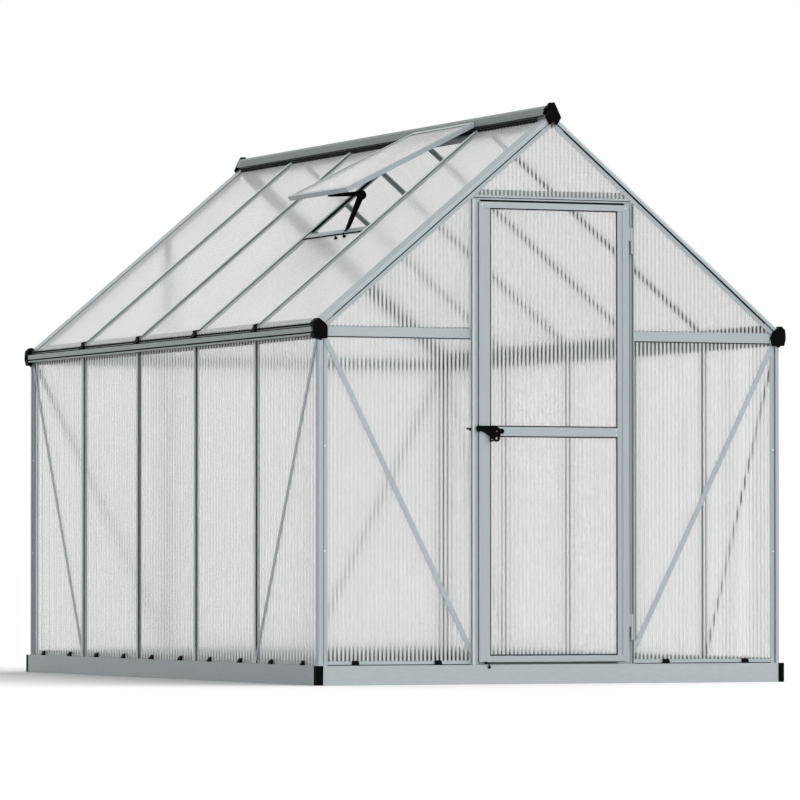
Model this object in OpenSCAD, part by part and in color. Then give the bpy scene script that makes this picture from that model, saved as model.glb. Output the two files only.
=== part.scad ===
// Hobby greenhouse: aluminium glazing profiles on a folded steel base, glazed with
// twin-wall polycarbonate. The door gable faces -Y, the length runs along Y and the
// origin is the middle of the footprint at ground level.

/* [Overall] */
// Width over the base corner covers, along X
base_w = 1850; // [1500:1:2400]
// Length over the base corner covers, along Y
base_l = 3060; // [2400:1:4200]
// Height of the steel base rail
base_h = 69; // [50:1:100]
// Height of the roof surface at the eaves, above ground
eave_z = 1286; // [1100:1:1500]
// Slope of the roof, in degrees
roof_pitch = 40; // [36:1:43]
// Number of equal bays along each side wall
bays = 5; // [4:1:6]
// Distance from the base's outer face in to the outermost face of the frame
wall_set = 13; // [10:0.5:20]

/* [Glazing and profiles] */
// Thickness of the twin-wall sheet
sheet_t = 4; // [3:0.5:6]
// Clearance between a sheet and each face of its channel
seat = 0.3; // [0.2:0.1:0.4]
// Wall thickness of the aluminium profiles
skin = 2; // [1.6:0.1:2.6]
// How far ribs and beads stand proud of the flanges
proud = 5; // [4:0.5:6]
// Width of the flanges of a glazing bar
bar_w = 28; // [26:1:34]
// Width of the rib down the middle of a glazing bar
rib_w = 8; // [6:0.5:10]
// Depth of the bolt channel on the inner side of a glazing bar
bolt_d = 6; // [5:0.5:10]
// Width of the bolt channel on the inner side of a glazing bar
bolt_w = 11; // [10:0.5:16]
// Width of each leg of the corner posts and gable rafters
leg_w = 36; // [34:1:42]
// Radius of the rounded nose of the corner posts
nose_r = 9; // [6:0.5:9]
// Width of the groove beside the bead of a post
groove_w = 5; // [4:0.5:6]
// Width of the roof flange of a gable rafter
rafter_w = 66; // [60:1:80]

/* [Rails] */
// Thickness of the folded steel base
base_t = 1.5; // [1.2:0.1:2.5]
// Width of the ledge at the top of the base rail
ledge_w = 52; // [45:1:70]
// Height of the lip of the gables' bottom rails
sill_lip = 15.5; // [12:0.5:18]
// Height of the upstand of the bottom rails, behind the sheets
sill_up = 18; // [14:0.5:30]
// Height of the underside of the eave gutters, above ground
gutter_z = 1239; // [1060:1:1440]
// Height of the gutter's outer wall
gutter_h = 29.5; // [24:0.5:34]
// How far the gutter stands out from the frame's outermost face
gutter_out = 18; // [14:0.5:24]
// Height of the eave-level rails in the gable walls
tie_h = 35; // [30:1:45]
// Height of the ridge beam's hood
ridge_h = 35; // [30:1:45]
// Width of the ridge beam's hood
ridge_w = 60; // [54:1:72]
// Height of the ridge beam's underside above the roof apex line
ridge_lift = -6; // [-8:0.5:0]
// Height of the lip along each side of the ridge beam's hood
ridge_lip = 10; // [8:0.5:14]
// How far the ridge beam's web hangs below its hood
ridge_drop = 26; // [20:1:32]

/* [Door] */
// Width over the two door jambs
jamb_w = 640; // [600:1:720]
// Width of each door jamb
jamb_face = 58; // [54:1:66]
// Height of the lintel's underside above the rafters' crossing with the jambs' outer edges
lintel_rise = -1.8; // [-4:0.1:4]
// Height of the lintel
lintel_h = 15; // [12:1:20]
// How far each jamb shows beside the door leaf
jamb_reveal = 24; // [20:0.5:30]
// Thickness of the door leaf
leaf_t = 12; // [11:0.5:16]
// Width of each door stile
stile_w = 44; // [40:1:50]
// Width of the raised outer part of a door stile
stile_raised = 24; // [20:1:28]
// Height of the door's bottom and top rails
leaf_rail_h = 22; // [18:1:30]
// Height of the door's middle rail
mid_rail_h = 33; // [28:1:40]
// Height of the underside of the door's middle rail, above ground
mid_rail_z = 887; // [800:1:1000]
// Running gap between the leaf and the fixed frame
leaf_gap = 5; // [5:0.5:8]
// Gap under the door leaf, above the base
leaf_foot = 10; // [7:0.5:14]
// Gap over the door leaf, below the lintel
leaf_head = 8.5; // [6:0.5:12]
// Diameter of the hinge pins
hinge_pin_d = 5; // [4:0.5:6]
// Outside diameter of the hinge knuckles
knuckle_d = 10; // [9:0.5:12]
// Running clearance between a hinge pin and its bore, on the radius
pin_play = 0.05; // [0.03:0.01:0.08]
// Length of one hinge, both knuckles together
hinge_l = 95; // [80:1:120]

/* [Vent] */
// Length of the vent sash, down the slope
sash_l = 574; // [500:1:640]
// How far the sash stands open, in degrees
sash_open = 13.5; // [10:0.1:18]
// Gap between the sash and the roof bars beside it
sash_gap = 4; // [3:0.5:8]
// Height of the sash frame
sash_h = 18; // [14:0.5:20]
// Height of the sash's top edge above the underside of the ridge beam's hood
sash_rise = 18.5; // [12:0.5:20]
// Width of the sash frame's members
sash_face = 20; // [16:1:26]
// Depth of the cross bar under the sash, square to the roof
cross_h = 12; // [12:0.5:18]
// Width of the cross bar under the sash
cross_w = 24; // [20:1:30]
// Width of the stay that props the sash
stay_w = 12; // [8:1:16]
// How far the stay's knuckle stands in from the sash's lower edge
stay_reach = 132; // [100:1:150]
// Radius of the stay's knuckle
stay_r = 18; // [14:0.5:20]

/* [Bracing and plastic] */
// Width of the flat diagonal braces
brace_w = 18; // [15:1:24]
// Thickness of the flat diagonal braces
brace_t = 2; // [1.5:0.1:3]
// Leg of the base corner covers along each side
cover_leg = 26; // [22:1:34]
// Thickness of the plastic of the corner covers
cover_t = 1.5; // [1.2:0.1:2]
// Radius of the rounded corner of the corner covers
cover_r = 9; // [6:0.5:12]
// Width of the panel clips
clip_w = 25; // [18:1:30]
// Height of the panel clips
clip_h = 17; // [12:1:20]
// How far the foot of a panel clip stands out
clip_out = 10.5; // [7:0.5:12]

/* [Hidden] */

alu = [0.70, 0.73, 0.73];
steel = [0.60, 0.63, 0.63];
clear = [0.88, 0.89, 0.89, 0.55];
black = [0.04, 0.04, 0.05];

eps = 0.01;
flush = 0.3;                               // gap between pieces that only meet

// Planes of the frame, measured from the middle of the plan
rib_x = base_w / 2 - wall_set;             // outermost face of the side walls
rib_y = base_l / 2 - wall_set;             // outermost face of the gable walls
chan = sheet_t + 2 * seat;                 // width of a glazing channel
chan_v = proud + skin;                     // depth of the channel's outer face
back_v = chan_v + chan;                    // depth of the channel's inner face
inner_v = back_v + skin;                   // depth of the inner flange's back
sheet_v = chan_v + seat;                   // depth of a sheet's outer face
bite = 9;                                  // how far a sheet enters its channel
roof_rib = 4;                              // height of the ribs on the roof bars
foot_w = 34;                               // width of a roof bar's foot
latch_t = 7;                               // thickness of the door latch
gutter_skirt = 12;                         // drop of the gutter's flange behind the wall sheets
gutter_set = 24;                           // how far the gutters stop short of the gables
ridge_set = 24;                            // how far the ridge beam stops short of the gables
catch_t = 2;                               // thickness of the latch's catch
tie_lap = 4;                               // how far the eave-level rails lap behind the sheets

foot_z = base_h + flush;                   // posts and bars stand on the ledge

// Side-wall bays
side_l = 2 * rib_y;
bay = (side_l - 9) / bays;
bar_y = [for (i = [1:bays - 1]) -side_l / 2 + 4.5 + i * bay];

// Roof: b is the depth below the roof line, measured square to the slope
tp = tan(roof_pitch);
cp = cos(roof_pitch);
sp = sin(roof_pitch);
apex_z = eave_z + rib_x * tp;
function roof_z(x, b = 0) = apex_z - abs(x) * tp - b / cp;
slope_l = rib_x / cp;                      // from the apex line to the eave

// Ridge
web_x = 12;                                // half the ridge beam's web
hood_z = apex_z + ridge_lift;              // underside of the hood
hood_top = hood_z + ridge_h;

// Door
jamb_x = jamb_w / 2;
jamb_in = jamb_x - jamb_face;
lintel_z = roof_z(jamb_x, leg_w) + lintel_rise;
leaf_x = jamb_x - jamb_reveal;
leaf_v = proud - leaf_gap;                 // depth of the leaf's back face
wall_t = 3;                                // thickness of the jambs' outer walls
wall_out = 7;                              // how far those walls stand out from the frame
leaf_z0 = base_h + leaf_foot;
leaf_z1 = lintel_z - leaf_head;
hinge_x = leaf_x + 15;
hinge_v = leaf_v - 5;
tie_z = gutter_z - 3.5;                    // underside of the eave-level rails
post_top = tie_z - flush;                  // the posts stop under the caps
tie_end = rib_x - leg_w - 2;

// ---------------------------------------------------------------- profiles

// H-section glazing bar: u across the flanges, v outward, outer flange's face at v = 0
module bar_2d(rib = proud) {
  w = bar_w / 2;
  c = bolt_w / 2;
  slot = c - 3;                            // half the mouth of the bolt channel
  polygon([
    [-rib_w / 2, rib], [rib_w / 2, rib], [rib_w / 2, 0], [w, 0], [w, -skin],
    [skin, -skin], [skin, -skin - chan], [w - 2, -skin - chan],
    [w - 2, -2 * skin - chan], [c, -2 * skin - chan], [c, -2 * skin - chan - bolt_d],
    [slot, -2 * skin - chan - bolt_d], [slot, -2 * skin - chan - bolt_d + skin],
    [c - skin, -2 * skin - chan - bolt_d + skin], [c - skin, -2 * skin - chan],
    [skin - c, -2 * skin - chan], [skin - c, -2 * skin - chan - bolt_d + skin],
    [-slot, -2 * skin - chan - bolt_d + skin], [-slot, -2 * skin - chan - bolt_d],
    [-c, -2 * skin - chan - bolt_d], [-c, -2 * skin - chan],
    [2 - w, -2 * skin - chan], [2 - w, -skin - chan], [-skin, -skin - chan],
    [-skin, -skin], [-w, -skin], [-w, 0], [-rib_w / 2, 0]
  ]);
}

// Corner profile: the outer corner is at the origin and both legs run positive.
// Leg 1 runs along u at the front, leg 2 along v down the side.
module corner_2d(leg1, leg2, flat2 = false) {
  bead = nose_r + rib_w;
  g = bead + groove_w;
  difference() {
    union() {
      difference() {
        square([bead, bead]);
        square([nose_r, nose_r]);
      }
      intersection() {
        translate([nose_r, nose_r]) circle(r = nose_r, $fn = 48);
        square([nose_r + eps, nose_r + eps]);
      }
      translate([proud, proud]) square([g - proud + skin, g - proud + skin]);
      translate([g, proud]) square([leg1 - g, skin]);
      translate([g, back_v]) square([leg1 - g - 2, skin]);
      if (flat2) {
        translate([0, bead - eps]) square([skin, leg2 - bead]);
        translate([0, bead - eps]) square([g, skin]);
        translate([back_v - proud, g]) square([skin, leg2 - g - 2]);
      } else {
        translate([proud, g]) square([skin, leg2 - g]);
        translate([back_v, g]) square([skin, leg2 - g - 2]);
      }
    }
    translate([bead, -eps]) square([groove_w, proud + 5]);
    if (!flat2) translate([-eps, bead]) square([proud + 5, groove_w]);
    translate([bead - 3, bead - 3]) circle(d = 6, $fn = 32);
  }
}

// ---------------------------------------------------------------- placing

// Runs a u-v section upwards; v = 0 is the plane at depth d inside the side wall's ribs
module on_left(y, z0, z1, d = 0)
  translate([-rib_x + d, y, z0]) rotate([0, 0, 90]) linear_extrude(z1 - z0) children();
module on_front(x, z0, z1, d = 0)
  translate([x, -rib_y + d, z0]) rotate([0, 0, 180]) linear_extrude(z1 - z0) children();
// Runs an x-z outline along Y
module along_y(y0, y1)
  translate([0, y1, 0]) rotate([90, 0, 0]) linear_extrude(y1 - y0) children();
// Runs a y-z outline along X
module along_x(x0, x1)
  translate([x0, 0, 0]) rotate([90, 0, 90]) linear_extrude(x1 - x0) children();
// Puts children drawn on the right slope's plane: X down the slope, Y along the house,
// Z outward, with the apex line as X = 0
module on_slope(side = 1)
  mirror([side < 0 ? 1 : 0, 0, 0])
    translate([0, 0, apex_z]) rotate([0, roof_pitch, 0]) children();
module both_sides() { children(); mirror([1, 0, 0]) children(); }
module both_ends() { children(); mirror([0, 1, 0]) children(); }

// ---------------------------------------------------------------- base

// Folded steel rail in section: face, ledge with a down-turned edge, and foot
module base_2d(face) {
  t = base_t;
  polygon([
    [face, 0], [face, base_h], [face + ledge_w, base_h], [face + ledge_w, base_h - 12],
    [face + ledge_w - t, base_h - 12], [face + ledge_w - t, base_h - t],
    [face + t, base_h - t], [face + t, t], [face + ledge_w / 2, t], [face + ledge_w / 2, 0]
  ]);
}
// Wedge with its faces at 45 degrees that mitres a rail of half length a
module mitre(a, depth) {
  translate([0, 0, -1]) linear_extrude(base_h + 2)
    polygon([[-a, 0], [a, 0], [a - depth, depth], [depth - a, depth]]);
}
module base_end() {
  a = base_w / 2 - cover_t - cover_r - flush;
  y = -base_l / 2 + cover_t;
  intersection() {
    along_x(-a, a) base_2d(y);
    translate([0, y, 0]) mitre(a + cover_r, ledge_w + 1);
  }
}
module base_side() {
  a = base_l / 2 - cover_t - cover_r - flush;
  x = -base_w / 2 + cover_t;
  intersection() {
    along_y(-a, a) base_2d(x);
    translate([x, 0, 0]) rotate([0, 0, -90]) mitre(a + cover_r, ledge_w + 1);
  }
}
module base_front() { color(steel) base_end(); }
module base_back() { color(steel) mirror([0, 1, 0]) base_end(); }
module base_left() { color(steel) base_side(); }
module base_right() { color(steel) mirror([1, 0, 0]) base_side(); }

// Black cover hugging the outside corner of the base
module corner_cover() {
  r = cover_r;
  t = cover_t - flush;
  translate([-base_w / 2, -base_l / 2, 0]) linear_extrude(base_h) {
    intersection() {
      translate([r, r]) circle(r = r, $fn = 48);
      square([r + eps, r + eps]);
    }
    translate([r, 0]) square([cover_leg - r, t]);
    translate([0, r]) square([t, cover_leg - r]);
  }
}
module base_corner_covers() {
  color(black) both_ends() both_sides() corner_cover();
}

// ---------------------------------------------------------------- walls

module corner_post() {
  translate([-rib_x, -rib_y, foot_z]) linear_extrude(post_top - foot_z) corner_2d(leg_w, leg_w);
}
module front_corner_posts() { color(alu) both_sides() corner_post(); }
module back_corner_posts() { color(alu) mirror([0, 1, 0]) both_sides() corner_post(); }

module side_bars() {
  x0 = -rib_x + back_v - flush;
  z0 = gutter_z - gutter_skirt - flush;
  difference() {
    for (y = bar_y) on_left(y, foot_z, gutter_z - flush, proud) bar_2d();
    translate([x0, -rib_y, z0]) cube([40, 2 * rib_y, 100]);
  }
}
module left_glazing_bars() { color(alu) side_bars(); }
module right_glazing_bars() { color(alu) mirror([1, 0, 0]) side_bars(); }

// Bottom rail in section, from the sheet's outer face in: floor, and the upstand behind
module sill_2d(rib) {
  x0 = -rib + chan_v;
  z0 = base_h;
  polygon([
    [x0, z0], [x0, z0 + skin], [x0 + chan, z0 + skin], [x0 + chan, z0 + sill_up],
    [x0 + chan + skin, z0 + sill_up], [x0 + chan + skin, z0 + skin],
    [x0 + chan + 2 * skin + 12, z0 + skin], [x0 + chan + 2 * skin + 12, z0]
  ]);
}
// One length of bottom rail between two uprights
module side_sill() {
  ends = concat([-rib_y + leg_w + flush], [for (y = bar_y) y + bar_w / 2 + flush]);
  stops = concat([for (y = bar_y) y - bar_w / 2 - flush], [rib_y - leg_w - flush]);
  for (i = [0:bays - 1]) along_y(ends[i], stops[i]) sill_2d(rib_x);
}
module side_bottom_rails() { color(alu) both_sides() side_sill(); }

// The gables' bottom rails have a lip in front of the sheet as well
module end_sill(x0, x1) {
  along_x(x0, x1) sill_2d(rib_y);
  translate([x0, -rib_y + proud, base_h]) cube([x1 - x0, skin, sill_lip]);
}
module end_bottom_rails() {
  color(alu) {
    both_sides() end_sill(jamb_x + flush, rib_x - leg_w - flush);
    mirror([0, 1, 0]) {
      both_sides() end_sill(jamb_x + bar_w / 2 + flush, rib_x - leg_w - flush);
      end_sill(-jamb_x + bar_w / 2 + flush, jamb_x - bar_w / 2 - flush);
    }
  }
}

// ---------------------------------------------------------------- eaves and ridge

// Gutter in section, for the right-hand side
module gutter_2d() {
  out = rib_x + gutter_out;
  back = rib_x - proud;
  in = back - skin - chan;
  top = gutter_z + gutter_h;
  difference() {
    union() {
      translate([out - skin, gutter_z]) square([skin, gutter_h]);
      translate([out - 4, top - 2]) square([4, 2]);
      translate([back - skin, gutter_z]) square([out - back + skin, skin]);
      translate([back - skin, gutter_z]) square([skin, roof_z(back, 9) - gutter_z]);
      translate([back, top + 6]) square([2, 2]);
      translate([in - skin, gutter_z + 12]) square([back - in + skin, skin]);
    }
    translate([out - 1.2, gutter_z + 6]) square([2, 6]);
  }
}
module gutter_seat_2d() {
  back = rib_x - proud;
  in = back - skin - chan;
  polygon([
    [in - skin, gutter_z - gutter_skirt], [in, gutter_z - gutter_skirt], [in, gutter_z + 12],
    [in, roof_z(in, 9)], [back - skin, roof_z(back - skin, 9)], [back - skin, roof_z(back - skin, 6.9)],
    [in - 20, roof_z(in - 20, 6.9)], [in - 20, roof_z(in - 20, 9)], [in - skin, roof_z(in - skin, 9)]
  ]);
}
module gutter() {
  end = rib_y - gutter_set;
  inner = rib_y - rafter_w - flush;
  along_y(-end, end) gutter_2d();
  along_y(-inner, inner) gutter_seat_2d();
}
module left_gutter() { color(alu) mirror([1, 0, 0]) gutter(); }
module right_gutter() { color(alu) gutter(); }

module ridge_beam_2d() {
  w = ridge_w / 2;
  h = ridge_h;
  t = skin;
  a = ridge_lip;
  b = h - 10;                              // shoulder of the crown
  crown = w - 14;
  difference() {
    polygon([
      [-web_x, -ridge_drop], [web_x, -ridge_drop], [web_x, 0], [w, 0], [w, a], [w - 2, a + 3],
      [w - 2, a + 5], [w - 4, b], [crown, h], [-crown, h], [4 - w, b], [2 - w, a + 5],
      [2 - w, a + 3], [-w, a], [-w, 0], [-web_x, 0]
    ]);
    polygon([
      [t - web_x, t - ridge_drop], [web_x - t, t - ridge_drop], [web_x - t, t], [w - t, t],
      [w - t, a - 1], [w - 2 - t, a + 2], [w - 2 - t, a + 5], [w - 4 - t, b - 1],
      [crown - t / 2, h - t], [t / 2 - crown, h - t], [4 + t - w, b - 1], [2 + t - w, a + 5],
      [2 + t - w, a + 2], [t - w, a - 1], [t - w, t], [t - web_x, t]
    ]);
  }
}
module ridge_beam() {
  end = rib_y - ridge_set;
  inner = rib_y - rafter_w - flush;
  color(alu) {
    translate([0, 0, hood_z]) along_y(-end, end) ridge_beam_2d();
    both_sides() along_y(-inner, inner) polygon([
      [web_x - 1, roof_z(web_x, 6.9)], [40, roof_z(40, 6.9)], [40, roof_z(40, 9)], [web_x - 1, roof_z(web_x, 9)]
    ]);
  }
}

// ---------------------------------------------------------------- roof

// Gable rafter: the corner profile laid along the slope, front leg downwards
module rafter() {
  x0 = web_x + flush;
  x1 = rib_x - proud - skin - flush;
  intersection() {
    on_slope() translate([-40, -rib_y, 0]) rotate([0, 90, 0])
      linear_extrude(slope_l + 80) corner_2d(leg_w, rafter_w, true);
    translate([x0, -rib_y - 1, 0]) cube([x1 - x0, rafter_w + 2, apex_z + 100]);
  }
}
// The space the rafters take up at the gable, for what ends under them
module rafter_space() {
  both_sides() on_slope() translate([-80, -rib_y - 20, -leg_w - flush]) cube([slope_l + 160, 60, 200]);
}
module front_rafters() { color(alu) both_sides() rafter(); }
module back_rafters() { color(alu) mirror([0, 1, 0]) both_sides() rafter(); }

// Roof bar: the glazing bar laid down the slope. Its inner flange is cut back
// where it meets the seats of the ridge beam and the gutter.
module roof_bar(y) {
  head = web_x + 5;
  seat_in = 40 + flush;
  seat_out = rib_x - proud - skin - chan - 20 - flush;
  foot = rib_x - proud - skin - flush;
  intersection() {
    on_slope() translate([0, y, 0]) rotate([90, 0, 90]) linear_extrude(slope_l) bar_2d(roof_rib);
    union() {
      translate([seat_in, y - bar_w, 0]) cube([seat_out - seat_in, 2 * bar_w, apex_z + 50]);
      intersection() {
        translate([head, y - bar_w, 0]) cube([foot - head, 2 * bar_w, apex_z + 50]);
        on_slope() translate([0, y - bar_w, -skin - chan]) cube([slope_l, 2 * bar_w, 20]);
      }
    }
  }
}
module left_roof_bars() { color(alu) mirror([1, 0, 0]) for (y = bar_y) roof_bar(y); }
module right_roof_bars() { color(alu) for (y = bar_y) roof_bar(y); }

// Black foot that closes the lower end of a roof bar over the gutter
module bar_foot(y) {
  x0 = rib_x - proud + 2 + flush;
  x1 = rib_x + 10;
  translate([0, y + foot_w / 2, 0]) rotate([90, 0, 0]) linear_extrude(foot_w) polygon([
    [x0, gutter_z + gutter_h + flush], [x1, gutter_z + gutter_h + flush],
    [x1, gutter_z + gutter_h + 6], [x0 + 3, roof_z(x0 + 3, -roof_rib)], [x0, roof_z(x0, -roof_rib)]
  ]);
}
module roof_bar_feet() { color(black) both_sides() for (y = bar_y) bar_foot(y); }

// Black cap that closes an eave corner: gutter end, post top and rafter foot
module eave_cap() {
  x1 = rib_x + gutter_out + 5;
  x0 = rib_x - leg_w + 4;
  y0 = -rib_y - 5;
  y1 = -rib_y + gutter_set - flush;
  z0 = gutter_z - 12;
  difference() {
    along_y(y0, y1) polygon([
      [x0, z0], [x0 + 18, z0], [x0 + 21, z0 - 6], [x0 + 31, z0 - 6], [x0 + 34, z0],
      [x1 - 6, z0], [x1, gutter_z + 10], [x1, gutter_z + 24], [x1 - 2, eave_z - 1],
      [rib_x + 7, eave_z + 12], [rib_x - 1, eave_z + 12], [x0 + 11, eave_z - 2], [x0, eave_z - 14]
    ]);
    translate([x0 - 1, -rib_y - flush, 0]) cube([rib_x + flush - x0 + 1, 100, post_top + flush]);
    on_slope() translate([0, -rib_y - flush, -leg_w - flush]) cube([slope_l + 40, 100, leg_w + 2 * flush]);
    translate([x0 - 1, -rib_y + proud - flush, 0]) cube([8, 100, apex_z]);
  }
}
module eave_corner_caps() { color(black) both_ends() both_sides() eave_cap(); }

// Outline of the ridge cap: a is half its width at the top, b at the shoulders and
// c at its widest
module cap_2d(a, b, c) {
  w = ridge_w / 2;
  foot = hood_z - ridge_drop;              // underside of the ridge beam's web
  polygon([
    [0, foot - 1], [w - 16, foot - 10], [w - 8, foot + 2], [c, foot + 17],
    [b, hood_top - 13], [a, hood_top + 10], [-a, hood_top + 10], [-b, hood_top - 13],
    [-c, foot + 17], [8 - w, foot + 2], [16 - w, foot - 10]
  ]);
}
// Black cap over the end of the ridge beam and the heads of the two rafters
module ridge_cap() {
  w = ridge_w / 2;
  y1 = -rib_y + 6;                         // where the narrower nose begins
  difference() {
    union() {
      along_y(-rib_y - 6, y1) cap_2d(4, w - 14, w + 1);
      along_y(y1 - eps, -rib_y + ridge_set - flush) cap_2d(8, w - 8, w + 3);
    }
    both_sides() on_slope()
      translate([-60, -rib_y - flush, -leg_w - flush]) cube([slope_l, 100, leg_w + 2 * flush]);
  }
}
module ridge_end_caps() { color(black) both_ends() ridge_cap(); }

// ---------------------------------------------------------------- door frame

// Jamb in section: flange over the gable sheet, bead, the wall that shields the leaf's
// edge, and the flat the leaf closes on
module jamb_2d() {
  translate([jamb_in, proud]) square([jamb_face, skin]);
  translate([jamb_x - wall_t, -wall_out]) square([wall_t, wall_out + chan_v]);
  translate([jamb_x - 12, proud - 3]) square([6, 3 + eps]);
  translate([jamb_x - 18, proud]) square([skin, inner_v - proud]);
  translate([jamb_x - 18, back_v]) square([16, skin]);
  translate([jamb_in, proud]) square([skin, 22]);
  translate([jamb_in, proud + 20]) square([28, skin]);
}
module door_jambs() {
  color(alu) difference() {
    both_sides() translate([0, -rib_y, foot_z]) linear_extrude(lintel_z - flush - foot_z) jamb_2d();
    rafter_space();
  }
}

// Lintel in section: face with a groove, and the upstand behind the gable sheet
module lintel_2d() {
  difference() {
    polygon([
      [-rib_y + proud - 3, lintel_z], [-rib_y + proud - 3, lintel_z + lintel_h],
      [-rib_y + chan_v, lintel_z + lintel_h], [-rib_y + chan_v, lintel_z + 4],
      [-rib_y + back_v, lintel_z + 4], [-rib_y + back_v, lintel_z + lintel_h + 22],
      [-rib_y + inner_v, lintel_z + lintel_h + 22], [-rib_y + inner_v, lintel_z]
    ]);
    translate([-rib_y + proud - 3.1, lintel_z + 5]) square([1.1, 3]);
  }
}
// Between the jambs the lintel reaches down behind the leaf's top edge, to stop it
module door_lintel() {
  stop_h = leaf_head + 0.4;
  stop_x = jamb_in - flush;
  color(alu) difference() {
    union() {
      along_x(-jamb_x, jamb_x) lintel_2d();
      translate([-stop_x, -rib_y + proud, lintel_z - stop_h]) cube([2 * stop_x, skin, stop_h + 1]);
    }
    rafter_space();
  }
}

// Eave-level rail in section, with a channel above and below for the sheets
module tie_2d() {
  a = -rib_y + proud;
  polygon([
    [a, tie_z], [a, tie_z + tie_h], [a + skin, tie_z + tie_h], [a + skin, tie_z + tie_h - 10],
    [a + skin + chan, tie_z + tie_h - 10], [a + skin + chan, tie_z + tie_h + tie_lap],
    [a + 2 * skin + chan, tie_z + tie_h + tie_lap], [a + 2 * skin + chan, tie_z - tie_lap],
    [a + skin + chan, tie_z - tie_lap], [a + skin + chan, tie_z + 10], [a + skin, tie_z + 10],
    [a + skin, tie_z]
  ]);
}
module front_tie_rails() {
  color(alu) difference() {
    both_sides() along_x(jamb_x + flush, tie_end) tie_2d();
    rafter_space();
  }
}
module back_wall_frame() {
  color(alu) mirror([0, 1, 0]) difference() {
    union() {
      both_sides() along_x(jamb_x + bar_w / 2 + flush, tie_end) tie_2d();
      along_x(-jamb_x + bar_w / 2 + flush, jamb_x - bar_w / 2 - flush) tie_2d();
      both_sides() on_front(jamb_x, foot_z, roof_z(jamb_x), proud) bar_2d();
    }
    rafter_space();
  }
}

// Flat strip between two points of a wall plane
module strip(a, b, w) {
  d = b - a;
  translate(a) rotate(atan2(d[1], d[0])) translate([0, -w / 2]) square([norm(d), w]);
}
// Brace of a gable wall, whose foot ends at the distance x from the middle
module end_brace(x) {
  a = [rib_x - leg_w + 7, post_top - 12];
  b = [jamb_x + 6, foot_z + 58];
  intersection() {
    translate([0, -rib_y + proud - flush, 0]) rotate([90, 0, 0])
      linear_extrude(brace_t) strip(a, b + (b - a) * 0.1, brace_w);
    translate([x, -rib_y - 10, 0]) cube([rib_x, 40, apex_z]);
  }
}
module side_brace() {
  y1 = bar_y[0] - rib_w / 2 - 1;
  a = [-rib_y + leg_w - 7, post_top - 12];
  b = [y1 - 4, foot_z + 20];
  intersection() {
    translate([-rib_x + proud - brace_t - flush, 0, 0]) rotate([90, 0, 90])
      linear_extrude(brace_t) strip(a, b + (b - a) * 0.05, brace_w);
    translate([-rib_x - 10, -rib_y, foot_z + 10]) cube([40, y1 + rib_y, apex_z]);
  }
}
module diagonal_braces() {
  color(alu) {
    both_sides() end_brace(jamb_x + flush);
    mirror([0, 1, 0]) both_sides() end_brace(jamb_x + rib_w / 2 + 1);
    both_ends() both_sides() side_brace();
  }
}

// ---------------------------------------------------------------- sheets

// Sheets of one side wall, one to a bay
module side_sheets() {
  lo = concat([-rib_y + leg_w - bite], [for (y = bar_y) y + skin + seat]);
  hi = concat([for (y = bar_y) y - skin - seat], [rib_y - leg_w + bite]);
  for (i = [0:bays - 1])
    translate([-rib_x + sheet_v, lo[i], base_h + skin + seat])
      cube([sheet_t, hi[i] - lo[i], gutter_z + 12 - seat - base_h - skin - seat]);
}
module left_wall_sheets() { color(clear) side_sheets(); }
module right_wall_sheets() { color(clear) mirror([1, 0, 0]) side_sheets(); }

// Upright sheet of a gable wall, given as an x-z outline
module end_sheet() {
  translate([0, -rib_y + sheet_v + sheet_t, 0]) rotate([90, 0, 0]) linear_extrude(sheet_t) children();
}
low_z0 = base_h + skin + seat;
low_z1 = tie_z + 10 - seat;
up_z0 = tie_z + tie_h - 10 + seat;
gable_b = leg_w - bite;                     // how deep the sheets reach under the rafters
post_in = rib_x - leg_w + bite;

module front_low_outline() {
  x0 = jamb_x - 14;
  polygon([[x0, low_z0], [post_in, low_z0], [post_in, low_z1], [x0, low_z1]]);
}
module front_wall_sheets() { color(clear) both_sides() end_sheet() front_low_outline(); }

module gable_outline(x0) {
  x1 = (apex_z - gable_b / cp - up_z0) / tp;
  polygon([[x0, up_z0], [x1, up_z0], [x0, roof_z(x0, gable_b)]]);
}
module back_wall_sheets() {
  color(clear) mirror([0, 1, 0]) {
    x0 = jamb_x + skin + seat;
    both_sides() end_sheet() polygon([[x0, low_z0], [post_in, low_z0], [post_in, low_z1], [x0, low_z1]]);
    x1 = jamb_x - skin - seat;
    end_sheet() polygon([[-x1, low_z0], [x1, low_z0], [x1, low_z1], [-x1, low_z1]]);
  }
}
// Sheets above the eave-level rails, under the rafters
module gable_sheets() {
  z0 = lintel_z + 4 + seat;
  x0 = (apex_z - gable_b / cp - z0) / tp;
  x1 = jamb_x - skin - seat;
  color(clear) {
    both_sides() end_sheet() intersection() {
      gable_outline(jamb_x - 14);
      square([rib_x, lintel_z - flush]);
    }
    end_sheet() polygon([[-x0, z0], [x0, z0], [0, roof_z(0, gable_b)]]);
    mirror([0, 1, 0]) {
      both_sides() end_sheet() gable_outline(jamb_x + skin + seat);
      end_sheet() polygon([
        [-x1, up_z0], [x1, up_z0], [x1, roof_z(x1, gable_b)], [0, roof_z(0, gable_b)],
        [-x1, roof_z(x1, gable_b)]
      ]);
    }
  }
}

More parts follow.
